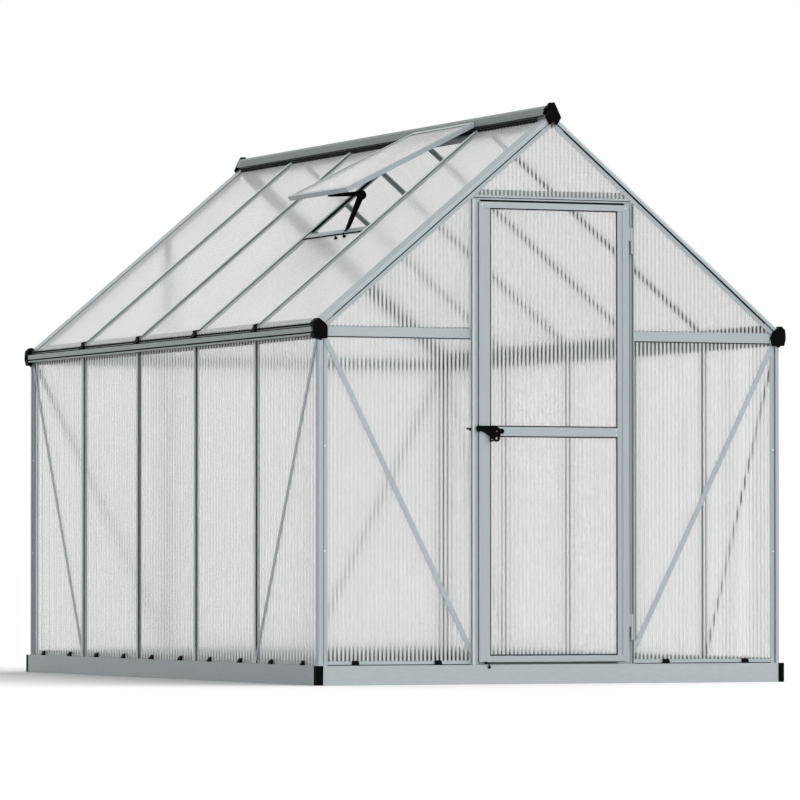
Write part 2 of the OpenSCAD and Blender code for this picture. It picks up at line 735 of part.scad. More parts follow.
// Roof sheets, one to a bay; the sheet under the vent starts at the cross bar
roof_lo = concat([-rib_y + 26], [for (y = bar_y) y + skin + seat]);
roof_hi = concat([for (y = bar_y) y - skin - seat], [rib_y - 26]);
sheet_s0 = (web_x + 6) / cp;
sheet_s1 = (rib_x - 3) / cp;
module roof_sheet(i, s0)
  on_slope() translate([s0, roof_lo[i], -skin - seat - sheet_t])
    cube([sheet_s1 - s0, roof_hi[i] - roof_lo[i], sheet_t]);
module right_roof_sheets() { color(clear) for (i = [0:bays - 1]) roof_sheet(i, sheet_s0); }
module left_roof_sheets() {
  color(clear) mirror([1, 0, 0]) for (i = [0:bays - 1]) roof_sheet(i, i == vent_bay ? cross_s + 8 : sheet_s0);
}

// ---------------------------------------------------------------- roof vent

vent_bay = 1;
vent_y0 = bar_y[vent_bay - 1] + bar_w / 2 + sash_gap;
vent_y1 = bar_y[vent_bay] - bar_w / 2 - sash_gap;
sash_a = roof_pitch - sash_open;
sash_x = ridge_w / 2 + flush;
sash_z = hood_z + sash_rise;
cross_s = sash_x / cp + sash_l - 18;       // the closed sash laps over the cross bar

// Places children drawn in the sash's plane: X down the sash, Z outward
module on_sash()
  mirror([1, 0, 0]) translate([sash_x, 0, sash_z]) rotate([0, sash_a, 0]) children();

module cross_2d() {
  polygon([
    [cross_s, -cross_h], [cross_s, 0], [cross_s + cross_w, 0], [cross_s + cross_w, -skin],
    [cross_s + 7, -skin], [cross_s + 7, -skin - chan], [cross_s + cross_w - 4, -skin - chan],
    [cross_s + cross_w - 4, -cross_h]
  ]);
}
module vent_cross_bar() {
  y0 = bar_y[vent_bay - 1];
  y1 = bar_y[vent_bay];
  color(alu) mirror([1, 0, 0]) on_slope() translate([0, y1 - bar_w / 2 - flush, 0])
    rotate([90, 0, 0]) linear_extrude(y1 - y0 - bar_w - 2 * flush) cross_2d();
}

module vent_frame() {
  w = vent_y1 - vent_y0;
  color(alu) difference() {
    on_sash() translate([0, vent_y0, -sash_h]) difference() {
      cube([sash_l, w, sash_h]);
      translate([sash_face, sash_face, -1]) cube([sash_l - 2 * sash_face, w - 2 * sash_face, sash_h + 2]);
      translate([sash_face - bite, sash_face - bite, sash_h - skin - chan])
        cube([sash_l - 2 * sash_face + 2 * bite, w - 2 * sash_face + 2 * bite, chan]);
    }
    translate([-sash_x, -rib_y, hood_z - ridge_drop]) cube([2 * sash_x, side_l, ridge_drop + ridge_h]);
  }
}
module vent_sheet() {
  w = vent_y1 - vent_y0;
  m = sash_face - bite + seat;
  color(clear) on_sash() translate([m, vent_y0 + m, -skin - seat - sheet_t])
    cube([sash_l - 2 * m, w - 2 * m, sheet_t]);
}

// Bent black stay between the cross bar and the sash's lower rail, as an x-z outline.
// The upper arm lies level under the sash, the lower arm slants down to the cross bar.
stay_y = vent_y0 + 0.333 * (vent_y1 - vent_y0);
module vent_stay() {
  lip = [sash_x + sash_l * cos(sash_a) - sash_h * sin(sash_a),
         sash_z - sash_l * sin(sash_a) - sash_h * cos(sash_a) - flush];
  lap = (sash_face - 2) * cos(sash_a);
  knee = lip + [-stay_reach, 4];
  foot_x = (cross_s + 6) * cp;
  foot = [foot_x, roof_z(foot_x) + flush];
  arm = 0.85 * stay_w;                     // half the width of the lower arm
  color(black) mirror([1, 0, 0]) translate([0, stay_y + stay_w / 2, 0]) rotate([90, 0, 0]) union() {
    disc(knee, stay_r, 0, stay_w);
    linear_extrude(stay_w) polygon([
      lip + [0, -6], lip, lip + [-lap, lap * tan(sash_a)], knee + [30, 11], knee + [0, stay_r - 1],
      knee, knee + [32, -6]
    ]);
    linear_extrude(stay_w) polygon([
      foot + [arm, -arm * tp], foot + [-arm, arm * tp], knee + [-arm - 2, 0], knee + [arm + 2, 0]
    ]);
  }
}

// ---------------------------------------------------------------- door leaf

// Door stile in section: raised outer part, recessed inner part with the sheet channel
module stile_2d() {
  step = 3;
  x_in = leaf_x - stile_w;
  difference() {
    polygon([
      [leaf_x, leaf_v], [leaf_x, leaf_v - leaf_t], [leaf_x - stile_raised, leaf_v - leaf_t],
      [leaf_x - stile_raised, leaf_v - leaf_t + step], [x_in, leaf_v - leaf_t + step], [x_in, leaf_v]
    ]);
    translate([x_in - eps, leaf_v - leaf_t + step + 1.5]) square([bite + 1, chan]);
    translate([leaf_x - stile_raised + 2, leaf_v - leaf_t + skin]) square([stile_raised - 4, leaf_t - 2 * skin]);
  }
}
module door_stiles() {
  color(alu) both_sides() translate([0, -rib_y, leaf_z0]) linear_extrude(leaf_z1 - leaf_z0) stile_2d();
}

// Door rail from z0 up: the body between the stiles and a tongue over each one
module door_rail(z0, h, tongues) {
  x1 = leaf_x - stile_w - flush;
  x2 = leaf_x - stile_raised - flush;
  y_face = -rib_y + leaf_v - leaf_t;
  translate([-x1, y_face, z0]) cube([2 * x1, leaf_t, h]);
  if (tongues) translate([-x2, y_face, z0]) cube([2 * x2, 3 - flush, h]);
}
module door_rails() {
  slot_y = -rib_y + leaf_v - leaf_t + 3 + 1.5;
  x1 = leaf_x - stile_w + bite;
  color(alu) difference() {
    union() {
      door_rail(leaf_z0, leaf_rail_h, true);
      door_rail(leaf_z1 - leaf_rail_h, leaf_rail_h, true);
      door_rail(mid_rail_z, mid_rail_h, false);
    }
    for (z = [leaf_z0 + leaf_rail_h - bite, mid_rail_z - eps, mid_rail_z + mid_rail_h - bite,
              leaf_z1 - leaf_rail_h - eps])
      translate([-x1, slot_y, z]) cube([2 * x1, chan, bite + eps]);
  }
}
module door_sheets() {
  x1 = leaf_x - stile_w + bite;
  y0 = -rib_y + leaf_v - leaf_t + 4.5 + seat;
  z = [leaf_z0 + leaf_rail_h - bite + seat, mid_rail_z + bite - seat,
       mid_rail_z + mid_rail_h - bite + seat, leaf_z1 - leaf_rail_h + bite - seat];
  color(clear) {
    translate([-x1, y0, z[0]]) cube([2 * x1, sheet_t, z[1] - z[0]]);
    translate([-x1, y0, z[2]]) cube([2 * x1, sheet_t, z[3] - z[2]]);
  }
}

// Black turn latch on the leaf's free edge: pierced plate with a knob and two rings
module disc(p, r, z0, h) translate([p[0], p[1], z0]) cylinder(r = r, h = h, $fn = 40);
module door_latch() {
  knob = [42, -10];
  rings = [[22, -36], [4, -40]];
  y1 = -rib_y + leaf_v - leaf_t - flush;
  color(black) translate([-leaf_x + stile_w, y1, mid_rail_z + 27]) rotate([90, 0, 0]) difference() {
    union() {
      linear_extrude(latch_t) polygon([
        [-56, 0], [-54, 9], [20, 9], [36, -2], [36, -26], [30, -44], [0, -44], [-4, -28],
        [-22, -16], [-38, -10], [-50, -14]
      ]);
      disc(knob, 9, 0, latch_t);
      disc(rings[0], 12, 0, latch_t);
      disc(rings[1], 8, 0, latch_t);
    }
    disc([24, -10], 4, -1, latch_t + 2);
    disc(rings[0], 5, -1, latch_t + 2);
    disc(rings[1], 3.5, -1, latch_t + 2);
  }
}

// Black tongue beside the jamb that the latch closes on, seated on the wall sheet
module latch_catch() {
  z1 = mid_rail_z + 28;
  color(black) translate([0, -rib_y + sheet_v - flush, 0]) rotate([90, 0, 0]) linear_extrude(catch_t)
    polygon([
      [-jamb_x - flush, z1], [-jamb_x - 18, z1], [-jamb_x - 18, z1 - 5],
      [-jamb_x - 10, z1 - 6], [-jamb_x - flush, z1 - 12]
    ]);
}

// ---------------------------------------------------------------- hinges

hinge_z = [1550, 155];
// Leaf-side half: plate on the stile and the upper knuckle, bored for the pin
module leaf_hinge(z) {
  r = knuckle_d / 2;
  y0 = -rib_y + hinge_v;
  difference() {
    union() {
      translate([hinge_x, y0, z + hinge_l / 2 + 0.2]) cylinder(r = r, h = hinge_l / 2 - 0.2, $fn = 40);
      translate([leaf_x + flush, y0 - 2, z + hinge_l / 2 + 0.2]) cube([hinge_x - leaf_x - flush, 4, hinge_l / 2 - 0.2]);
    }
    translate([hinge_x, y0, z]) cylinder(r = hinge_pin_d / 2 + pin_play, h = 2 * hinge_l, $fn = 40);
  }
}
module door_hinges() { color(alu) for (z = hinge_z) leaf_hinge(z); }

// Jamb-side half: knuckle, pin and the foot that stands on the jamb
module jamb_hinge(z) {
  r = knuckle_d / 2;
  y0 = -rib_y + hinge_v;
  translate([hinge_x, y0, z]) cylinder(r = r, h = hinge_l / 2, $fn = 40);
  translate([hinge_x, y0, z]) cylinder(d = hinge_pin_d, h = hinge_l - 4, $fn = 40);
  translate([hinge_x - 2, y0, z]) cube([4, -hinge_v + proud - 3 - flush, hinge_l / 2]);
}
module jamb_hinges() { color(alu) for (z = hinge_z) jamb_hinge(z); }

// ---------------------------------------------------------------- clips

// Black wedge that presses on the foot of a sheet or on the lip before it, in section
module clip_2d(x) {
  translate([x - flush, base_h + flush]) polygon([
    [0, 0], [0, clip_h], [-2, clip_h], [-clip_out, 4], [-clip_out, 0]
  ]);
}
module panel_clips() {
  w = clip_w / 2;
  color(black) {
    both_ends() both_sides() for (f = [0.22, 0.76])
      translate([jamb_x + f * (rib_x - jamb_x), 0, 0]) along_x(-w, w) clip_2d(-rib_y + proud);
    both_sides() for (i = [0:bays - 1], f = [0.25, 0.75])
      translate([0, -side_l / 2 + 4.5 + (i + f) * bay, 0]) along_y(-w, w) clip_2d(-rib_x + chan_v);
  }
}

base_front();
base_back();
base_left();
base_right();
base_corner_covers();
front_corner_posts();
back_corner_posts();
left_glazing_bars();
right_glazing_bars();
side_bottom_rails();
end_bottom_rails();
left_gutter();
right_gutter();
eave_corner_caps();
ridge_beam();
ridge_end_caps();
front_rafters();
back_rafters();
left_roof_bars();
right_roof_bars();
roof_bar_feet();
door_jambs();
door_lintel();
front_tie_rails();
back_wall_frame();
diagonal_braces();
left_wall_sheets();
right_wall_sheets();
front_wall_sheets();
back_wall_sheets();
gable_sheets();
left_roof_sheets();
right_roof_sheets();
vent_cross_bar();
vent_frame();
vent_sheet();
vent_stay();
door_stiles();
door_rails();
door_sheets();
door_latch();
latch_catch();
door_hinges();
jamb_hinges();
panel_clips();
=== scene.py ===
"""Dresses the greenhouse: finishes, small hardware, studio and camera.

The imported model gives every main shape. This file adds what is too small for it and the
materials, and stands the house in a plain pale studio.
"""
import math

import bmesh
import bpy
from bpy.props import FloatProperty, FloatVectorProperty, PointerProperty, StringProperty
from bpy.types import NodeSocket, Operator, Panel, PropertyGroup
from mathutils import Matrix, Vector


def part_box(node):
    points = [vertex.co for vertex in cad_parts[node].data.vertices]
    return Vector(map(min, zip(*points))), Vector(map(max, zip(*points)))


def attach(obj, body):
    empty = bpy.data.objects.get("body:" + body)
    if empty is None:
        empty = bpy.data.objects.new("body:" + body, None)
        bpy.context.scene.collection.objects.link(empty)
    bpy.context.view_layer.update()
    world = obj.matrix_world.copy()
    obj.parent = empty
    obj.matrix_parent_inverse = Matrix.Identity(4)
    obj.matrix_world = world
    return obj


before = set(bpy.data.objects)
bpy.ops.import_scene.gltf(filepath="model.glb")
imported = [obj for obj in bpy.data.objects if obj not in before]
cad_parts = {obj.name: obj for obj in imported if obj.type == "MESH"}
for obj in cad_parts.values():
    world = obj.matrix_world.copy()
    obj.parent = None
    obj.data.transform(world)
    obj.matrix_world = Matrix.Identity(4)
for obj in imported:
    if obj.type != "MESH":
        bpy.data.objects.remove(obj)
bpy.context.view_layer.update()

bl_info = {
    "name": "Greenhouse Finish",
    "version": (1, 0, 0),
    "blender": (4, 5, 0),
    "location": "View3D > Sidebar > Greenhouse",
    "description": "Finishes, small hardware and a studio for a polycarbonate greenhouse",
    "category": "Object",
}


# ------------------------------------------------------------------ sizes read from the model

def low(node):
    """Lowest corner of a model node, in metres."""
    return Vector(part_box(node)[0])


def high(node):
    """Highest corner of a model node, in metres."""
    return Vector(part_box(node)[1])


RIGHT = Vector((1, 0, 0))
AFT = Vector((0, 1, 0))                           # away from the door
UP = Vector((0, 0, 1))

PITCH = math.radians(40.0)                        # slope of the roof
RIB_X = high("front_corner_posts").x              # outermost face of the side walls
RIB_Y = -low("front_corner_posts").y              # outermost face of the gable walls
EAVE = 1.286                                      # height of the roof's surface at the eaves
APEX = EAVE + RIB_X * math.tan(PITCH)             # height where the two slopes would meet

SKIN = 0.002                                      # wall thickness of the profiles
PROUD = 0.005                                     # how far ribs stand proud of the flanges
CHANNEL = 0.0046                                  # width of the channels that hold the sheets
SHEET_FACE = 0.0073                               # depth of the sheets' outer face
FLANGE = 0.014                                    # half the width of a glazing bar
ROOF_RIB = 0.004                                  # height of the ribs on the roof bars
BAR_TOP = 0.046                                   # how far down the slope the roof bars begin

END_SET = 0.0045                                  # how far the end bays start in from the gables
BAYS = 5
BAY = (2 * RIB_Y - 2 * END_SET) / BAYS
BAR_Y = [END_SET - RIB_Y + i * BAY for i in range(1, BAYS)]

JAMB_X = high("door_jambs").x                     # outer edge of the door jambs
LEAF_RAIL = 0.022                                 # height of the leaf's top and bottom rails
MID_RAIL = (0.887, 0.920)                         # bottom and top of the leaf's middle rail
STILE = 0.044                                     # width of the leaf's stiles

FILM = 0.00005                                    # lift of a flat strip off the face it lies on
LIFT = 0.0001                                     # lift of a thicker piece off its face


# ------------------------------------------------------------------ settings

class FinishSettings(PropertyGroup):
    """Colours and sizes of the finishes."""

    aluminium: StringProperty(
        name="Aluminium", default="#ABB4B7", description="Colour of the anodised profiles")
    steel: StringProperty(
        name="Base steel", default="#AEB6B8", description="Colour of the galvanised base")
    gable_tint: StringProperty(
        name="Gable sheet tint", default="#F5F5F5",
        description="Colour that a gable or door sheet gives to light passing through")
    side_tint: StringProperty(
        name="Side sheet tint", default="#F7F7F7",
        description="Colour that a side sheet gives to light passing through")
    roof_tint: StringProperty(
        name="Roof sheet tint", default="#F2F2F2",
        description="Colour that a roof sheet gives to light passing through")
    sheet_shade: StringProperty(
        name="Sheet shade", default="#C4CBC9",
        description="Light that each face of a sheet lets through onto what stands behind it")
    # The three rib colours differ only to even out how much light each wall catches: painted light.
    gable_rib_painted_light: StringProperty(
        name="Gable rib colour", default="#E5E5E5",
        description="Pale colour of the ribs in the gable and door sheets")
    side_rib_painted_light: StringProperty(
        name="Side rib colour", default="#F0F0F0",
        description="Pale colour of the ribs in the side sheets")
    roof_rib_painted_light: StringProperty(
        name="Roof rib colour", default="#E8E8E8",
        description="Pale colour of the ribs in the roof sheets")
    # The gutter and ridge colours are the aluminium darkened with painted shade.
    gutter_shade: StringProperty(
        name="Mill aluminium", default="#929E9E", description="Colour of the gutters")
    ridge: StringProperty(
        name="Ridge aluminium", default="#7A8583", description="Colour of the ridge beam")
    plastic: StringProperty(
        name="Black plastic", default="#040505", description="Colour of caps, clips and latch")
    # The strips' black paints shade lines between the parts: painted shade.
    shade_strip_colour: StringProperty(
        name="Rubber", default="#0B1110", description="Colour of the glazing seals")
    # The trim colour is paler than the aluminium to paint highlights on ribs and jamb.
    trim: StringProperty(
        name="Edge trim", default="#DCE3E2", description="Colour of the pale trims")
    screw: StringProperty(
        name="Screws", default="#E9ECEC", description="Colour of the bright zinc screws")
    gable_flute: FloatProperty(
        name="Gable flute", default=0.0158, unit="LENGTH",
        description="Distance between the ribs that show in the gable and door sheets")
    side_flute: FloatProperty(
        name="Side flute", default=0.0284, unit="LENGTH",
        description="Distance between the ribs that show in the side and roof sheets")


class HardwareSettings(PropertyGroup):
    """Sizes of the black strips that paint shade lines, of the trims and of the fixings."""

    # These four sizes are for black strips that paint shade lines along the bars, the door and the
    # ridge: painted shade.
    bar_shade_strip: FloatProperty(
        name="Bar seal", default=0.0080, unit="LENGTH",
        description="Width of the seal on the front side of a bar's rib")
    bar_back_shade_strip: FloatProperty(
        name="Bar lip", default=0.0034, unit="LENGTH",
        description="Width of the seal on the back side of a wall bar's rib")
    door_shade_strip: FloatProperty(
        name="Door seal", default=0.004, unit="LENGTH",
        description="Width of the seal round the door's sheets")
    ridge_shade_strip: FloatProperty(
        name="Ridge seal", default=0.010, unit="LENGTH",
        description="Height of the seal under the ridge beam's hood")
    screw_r: FloatProperty(
        name="Screw head", default=0.0032, unit="LENGTH",
        description="Radius of the screw heads in the posts")
    screw_low: FloatProperty(
        name="Lower screws", default=0.475, unit="LENGTH",
        description="Height of the lower screws in the corner posts")
    screw_high: FloatProperty(
        name="Upper screws", default=0.846, unit="LENGTH",
        description="Height of the upper screws in the corner posts")


class StudioSettings(PropertyGroup):
    """Light, floor and camera."""

    fill: FloatProperty(
        name="Fill", default=0.25, description="Level of the light from all round")
    key: FloatProperty(
        name="Key", default=0.9, description="Level of the soft light from the right")
    front: FloatProperty(
        name="Front", default=0.40, description="Level of the soft light from the front")
    left: FloatProperty(
        name="Left", default=0.35, description="Level of the soft light from the left")
    back: FloatProperty(
        name="Back", default=0.45, description="Level of the soft light from behind")
    lens: FloatProperty(
        name="Lens", default=260.9, description="Focal length on a 36 mm sensor")
    camera: FloatVectorProperty(
        name="Camera", default=(-8.7241, -20.4462, 0.405), subtype="TRANSLATION",
        description="Where the camera stands")
    tilt: FloatProperty(
        name="Tilt", default=math.radians(1.6865), subtype="ANGLE",
        description="How far the camera looks up")
    heading: FloatProperty(
        name="Heading", default=math.radians(-23.231), subtype="ANGLE",
        description="How far the camera turns from the house's length")


# ------------------------------------------------------------------ materials

WHITE = (1.0, 1.0, 1.0, 1.0)


def rgb(code):
    """Linear colour with alpha from an sRGB hex code."""
    parts = [int(code[i:i + 2], 16) / 255 for i in (1, 3, 5)]
    return [c / 12.92 if c <= 0.04045 else ((c + 0.055) / 1.055) ** 2.4 for c in parts] + [1.0]


def add(tree, kind, inputs=None, **settings):
    """Adds a node with its properties and sockets; inputs holds links and plain values."""
    node = tree.nodes.new(kind)
    for key, value in settings.items():
        if hasattr(node, key):
            setattr(node, key, value)
        else:
            node.inputs[key.replace("_", " ")].default_value = value
    for key, source in (inputs or {}).items():
        if isinstance(source, NodeSocket):
            tree.links.new(source, node.inputs[key])
        else:
            node.inputs[key].default_value = source
    return node


def new_material(name):
    """An empty node material and its tree."""
    material = bpy.data.materials.new(name)
    material.use_nodes = True
    material.node_tree.nodes.clear()
    return material, material.node_tree


def scale_of(size):
    """Texture scale for a pattern of that size in millimetres: whole patterns per metre."""
    return float(round(1000.0 / size))


def streak_coordinates(tree, along, stretch):
    """Object coordinates drawn out along an extrusion's length. along is X, Y, Z or SLOPE."""
    place = add(tree, "ShaderNodeTexCoord").outputs["Object"]
    if along == "SLOPE":
        # folded over the ridge and turned level, so that one direction serves both slopes
        parts = add(tree, "ShaderNodeSeparateXYZ", {0: place})
        folded = add(tree, "ShaderNodeMath", {0: parts.outputs["X"]}, operation="ABSOLUTE")
        joined = add(tree, "ShaderNodeCombineXYZ", {
            "X": folded.outputs[0], "Y": parts.outputs["Y"], "Z": parts.outputs["Z"]})
        level = add(tree, "ShaderNodeVectorRotate", {"Vector": joined.outputs[0]},
                    rotation_type="Y_AXIS", Angle=-PITCH)
        place = level.outputs[0]
        along = "X"
    scale = [1.0, 1.0, 1.0]
    scale["XYZ".index(along)] = 1.0 / stretch
    return add(tree, "ShaderNodeMapping", {"Vector": place}, Scale=scale).outputs[0]


def extruded_aluminium(name, along, code):
    """Satin grey of that colour, with the faint lines that an extrusion die leaves along
    the length and soft clouds over them."""
    material, tree = new_material(name)
    place = streak_coordinates(tree, along, 60.0)
    # Die lines are 0.2 to 1 mm apart; drawn 6 mm apart so that they show at all.
    lines = add(tree, "ShaderNodeTexNoise", {"Vector": place},
                Scale=scale_of(6.25), Detail=2.0, Roughness=0.6)
    clouds = add(tree, "ShaderNodeTexNoise", {"Vector": place}, Scale=scale_of(111.1), Detail=3.0)
    both = add(tree, "ShaderNodeMath", {0: lines.outputs["Fac"], 1: clouds.outputs["Fac"]},
               operation="ADD")
    tone = add(tree, "ShaderNodeMapRange", {"Value": both.outputs[0]},
               From_Min=0.6, From_Max=1.4, To_Min=0.93, To_Max=1.05)
    colour = add(tree, "ShaderNodeVectorMath", {0: tone.outputs[0], 1: rgb(code)[:3]},
                 operation="MULTIPLY")
    rough = add(tree, "ShaderNodeMapRange", {"Value": lines.outputs["Fac"]},
                From_Min=0.3, From_Max=0.7, To_Min=0.38, To_Max=0.48)
    shader = add(tree, "ShaderNodeBsdfPrincipled", {
        "Base Color": colour.outputs[0], "Roughness": rough.outputs[0]}, Metallic=0.2)
    add(tree, "ShaderNodeOutputMaterial", {"Surface": shader.outputs[0]})
    return material


def anodised_aluminium(name, along):
    """Extruded aluminium, satin anodised: a milky oxide skin that scatters most light, so it
    reads as a soft pale grey and no mirror."""
    return extruded_aluminium(name, along, bpy.context.scene.greenhouse_finish.aluminium)


def gutter_shade_aluminium(name, along):
    """Extruded aluminium for the gutters, in a darker grey: the aluminium's own colour with painted
    shade.
    """
    return extruded_aluminium(name, along, bpy.context.scene.greenhouse_finish.gutter_shade)


def ridge_shade_aluminium(name, along):
    """Extruded aluminium for the ridge beam, in the darkest grey: the aluminium's own colour with
    painted shade.
    """
    return extruded_aluminium(name, along, bpy.context.scene.greenhouse_finish.ridge)


def galvanised_steel(name, along):
    """Pre-galvanised sheet steel, roll formed: a dull zinc skin with faint broad spangle."""
    finish = bpy.context.scene.greenhouse_finish
    material, tree = new_material(name)
    place = streak_coordinates(tree, along, 3.0)
    spangle = add(tree, "ShaderNodeTexVoronoi", {"Vector": place}, Scale=scale_of(11.11))
    clouds = add(tree, "ShaderNodeTexNoise", {"Vector": place}, Scale=scale_of(200.0), Detail=3.0)
    both = add(tree, "ShaderNodeMath", {0: spangle.outputs["Distance"], 1: clouds.outputs["Fac"]},
               operation="ADD")
    tone = add(tree, "ShaderNodeMapRange", {"Value": both.outputs[0]},
               From_Min=0.5, From_Max=1.5, To_Min=0.96, To_Max=1.03)
    colour = add(tree, "ShaderNodeVectorMath", {0: tone.outputs[0], 1: rgb(finish.steel)[:3]},
                 operation="MULTIPLY")
    shader = add(tree, "ShaderNodeBsdfPrincipled", {"Base Color": colour.outputs[0]},
                 Metallic=0.2, Roughness=0.5)
    add(tree, "ShaderNodeOutputMaterial", {"Surface": shader.outputs[0]})
    return material


def twin_wall_polycarbonate(name, place_on):
    """Extruded twin-wall polycarbonate, UV coated: two clear skins joined by ribs. The skins
    blur what stands behind a little and the ribs scatter it, so it shows in stripes."""
    finish = bpy.context.scene.greenhouse_finish
    material, tree = new_material(name)
    place = add(tree, "ShaderNodeTexCoord").outputs["Object"]
    parts = add(tree, "ShaderNodeSeparateXYZ", {0: place})
    # The real ribs stand 4 to 6 mm apart; drawn 16 and 28 mm apart, coarse enough to show.
    # The bend of the light is kept small: a sheet moves what stands behind it hardly at all.
    # Each wall's rib colour is set to even out the light that wall catches: painted light.
    across, pitch, tint, rib_colour_painted_light, bend = {
        "GABLE": ("X", finish.gable_flute, finish.gable_tint, finish.gable_rib_painted_light, 1.1),
        "SIDE": ("Y", finish.side_flute, finish.side_tint, finish.side_rib_painted_light, 1.06),
        "ROOF": ("Y", finish.side_flute, finish.roof_tint, finish.roof_rib_painted_light, 1.02)}[place_on]
    # rib is 1 on a rib and 0 midway between two
    phase = add(tree, "ShaderNodeMath", {0: parts.outputs[across], 1: math.pi / pitch},
                operation="MULTIPLY")
    wave = add(tree, "ShaderNodeMath", {0: phase.outputs[0]}, operation="SINE")
    rib = add(tree, "ShaderNodeMath", {0: wave.outputs[0], 1: 2.0}, operation="POWER")
    rough = add(tree, "ShaderNodeMapRange", {"Value": rib.outputs[0]},
                interpolation_type="SMOOTHSTEP",
                From_Min=0.3, From_Max=0.8, To_Min=0.16, To_Max=0.35)
    skins = add(tree, "ShaderNodeBsdfPrincipled", {"Roughness": rough.outputs[0]},
                Base_Color=rgb(tint), IOR=bend, Transmission_Weight=1.0)
    veil = add(tree, "ShaderNodeBsdfAnisotropic",
               distribution="MULTI_GGX", Color=rgb(rib_colour_painted_light), Roughness=1.0)
    share = add(tree, "ShaderNodeMapRange", {"Value": rib.outputs[0]},
                interpolation_type="SMOOTHSTEP",
                From_Min=0.3, From_Max=0.8, To_Min=0.0, To_Max=0.45)
    body = add(tree, "ShaderNodeMixShader", {
        0: share.outputs[0], 1: skins.outputs[0], 2: veil.outputs[0]})
    # light on its way to the pieces behind passes straight through, a little shaded
    shade = add(tree, "ShaderNodeBsdfTransparent", Color=rgb(finish.sheet_shade))
    rays = add(tree, "ShaderNodeLightPath")
    passing = add(tree, "ShaderNodeMath", {
        0: rays.outputs["Is Shadow Ray"], 1: rays.outputs["Is Diffuse Ray"]}, operation="MAXIMUM")
    mix = add(tree, "ShaderNodeMixShader", {
        0: passing.outputs[0], 1: body.outputs[0], 2: shade.outputs[0]})
    add(tree, "ShaderNodeOutputMaterial", {"Surface": mix.outputs[0]})
    return material


def black_polypropylene(name):
    """Injection-moulded black polypropylene: deep black with a fine spark-eroded grain."""
    finish = bpy.context.scene.greenhouse_finish
    material, tree = new_material(name)
    place = add(tree, "ShaderNodeTexCoord").outputs["Object"]
    # The grain is 0.1 to 0.3 mm; drawn 1.1 mm so that it shows close up.
    grain = add(tree, "ShaderNodeTexNoise", {"Vector": place}, Scale=scale_of(1.111), Detail=2.0)
    bump = add(tree, "ShaderNodeBump", {"Height": grain.outputs["Fac"]},
               Strength=0.15, Distance=0.0003)
    rough = add(tree, "ShaderNodeMapRange", {"Value": grain.outputs["Fac"]},
                To_Min=0.42, To_Max=0.6)
    shader = add(tree, "ShaderNodeBsdfPrincipled", {
        "Roughness": rough.outputs[0], "Normal": bump.outputs[0]},
        Base_Color=rgb(finish.plastic), IOR=1.49, Specular_IOR_Level=0.03)
    add(tree, "ShaderNodeOutputMaterial", {"Surface": shader.outputs[0]})
    return material


def painted_shade_black(name):
    """Dull black for the strips that paint shade lines between the parts (painted shade), with a dry
    bloom that comes and goes.
    """
    finish = bpy.context.scene.greenhouse_finish
    material, tree = new_material(name)
    place = add(tree, "ShaderNodeTexCoord").outputs["Object"]
    bloom = add(tree, "ShaderNodeTexNoise", {"Vector": place}, Scale=scale_of(25.0), Detail=4.0)
    rough = add(tree, "ShaderNodeMapRange", {"Value": bloom.outputs["Fac"]}, To_Min=0.6, To_Max=0.85)
    tone = add(tree, "ShaderNodeMapRange", {"Value": bloom.outputs["Fac"]}, To_Min=0.7, To_Max=1.3)
    colour = add(tree, "ShaderNodeVectorMath", {0: tone.outputs[0], 1: rgb(finish.shade_strip_colour)[:3]},
                 operation="MULTIPLY")
    shader = add(tree, "ShaderNodeBsdfPrincipled", {
        "Base Color": colour.outputs[0], "Roughness": rough.outputs[0]},
        IOR=1.5, Specular_IOR_Level=0.05)
    add(tree, "ShaderNodeOutputMaterial", {"Surface": shader.outputs[0]})
    return material


def painted_highlight_pvc(name):
    """Pale, smooth PVC trim, a little uneven in tone and paler than the aluminium: painted highlight
    on the ribs and the closing jamb.
    """
    finish = bpy.context.scene.greenhouse_finish
    material, tree = new_material(name)
    place = add(tree, "ShaderNodeTexCoord").outputs["Object"]
    patches = add(tree, "ShaderNodeTexNoise", {"Vector": place}, Scale=scale_of(83.33), Detail=3.0)
    tone = add(tree, "ShaderNodeMapRange", {"Value": patches.outputs["Fac"]},
               To_Min=0.96, To_Max=1.04)
    colour = add(tree, "ShaderNodeVectorMath", {0: tone.outputs[0], 1: rgb(finish.trim)[:3]},
                 operation="MULTIPLY")
    shader = add(tree, "ShaderNodeBsdfPrincipled", {"Base Color": colour.outputs[0]},
                 Roughness=0.4, IOR=1.53)
    add(tree, "ShaderNodeOutputMaterial", {"Surface": shader.outputs[0]})
    return material


def bright_zinc(name):
    """Zinc-plated steel screws: bright, a little clouded by the passivation."""
    finish = bpy.context.scene.greenhouse_finish
    material, tree = new_material(name)
    place = add(tree, "ShaderNodeTexCoord").outputs["Object"]
    cloud = add(tree, "ShaderNodeTexNoise", {"Vector": place}, Scale=scale_of(3.333), Detail=2.0)
    rough = add(tree, "ShaderNodeMapRange", {"Value": cloud.outputs["Fac"]}, To_Min=0.25, To_Max=0.4)
    shader = add(tree, "ShaderNodeBsdfPrincipled", {"Roughness": rough.outputs[0]},
                 Base_Color=rgb(finish.screw), Metallic=0.8)
    add(tree, "ShaderNodeOutputMaterial", {"Surface": shader.outputs[0]})
    return material


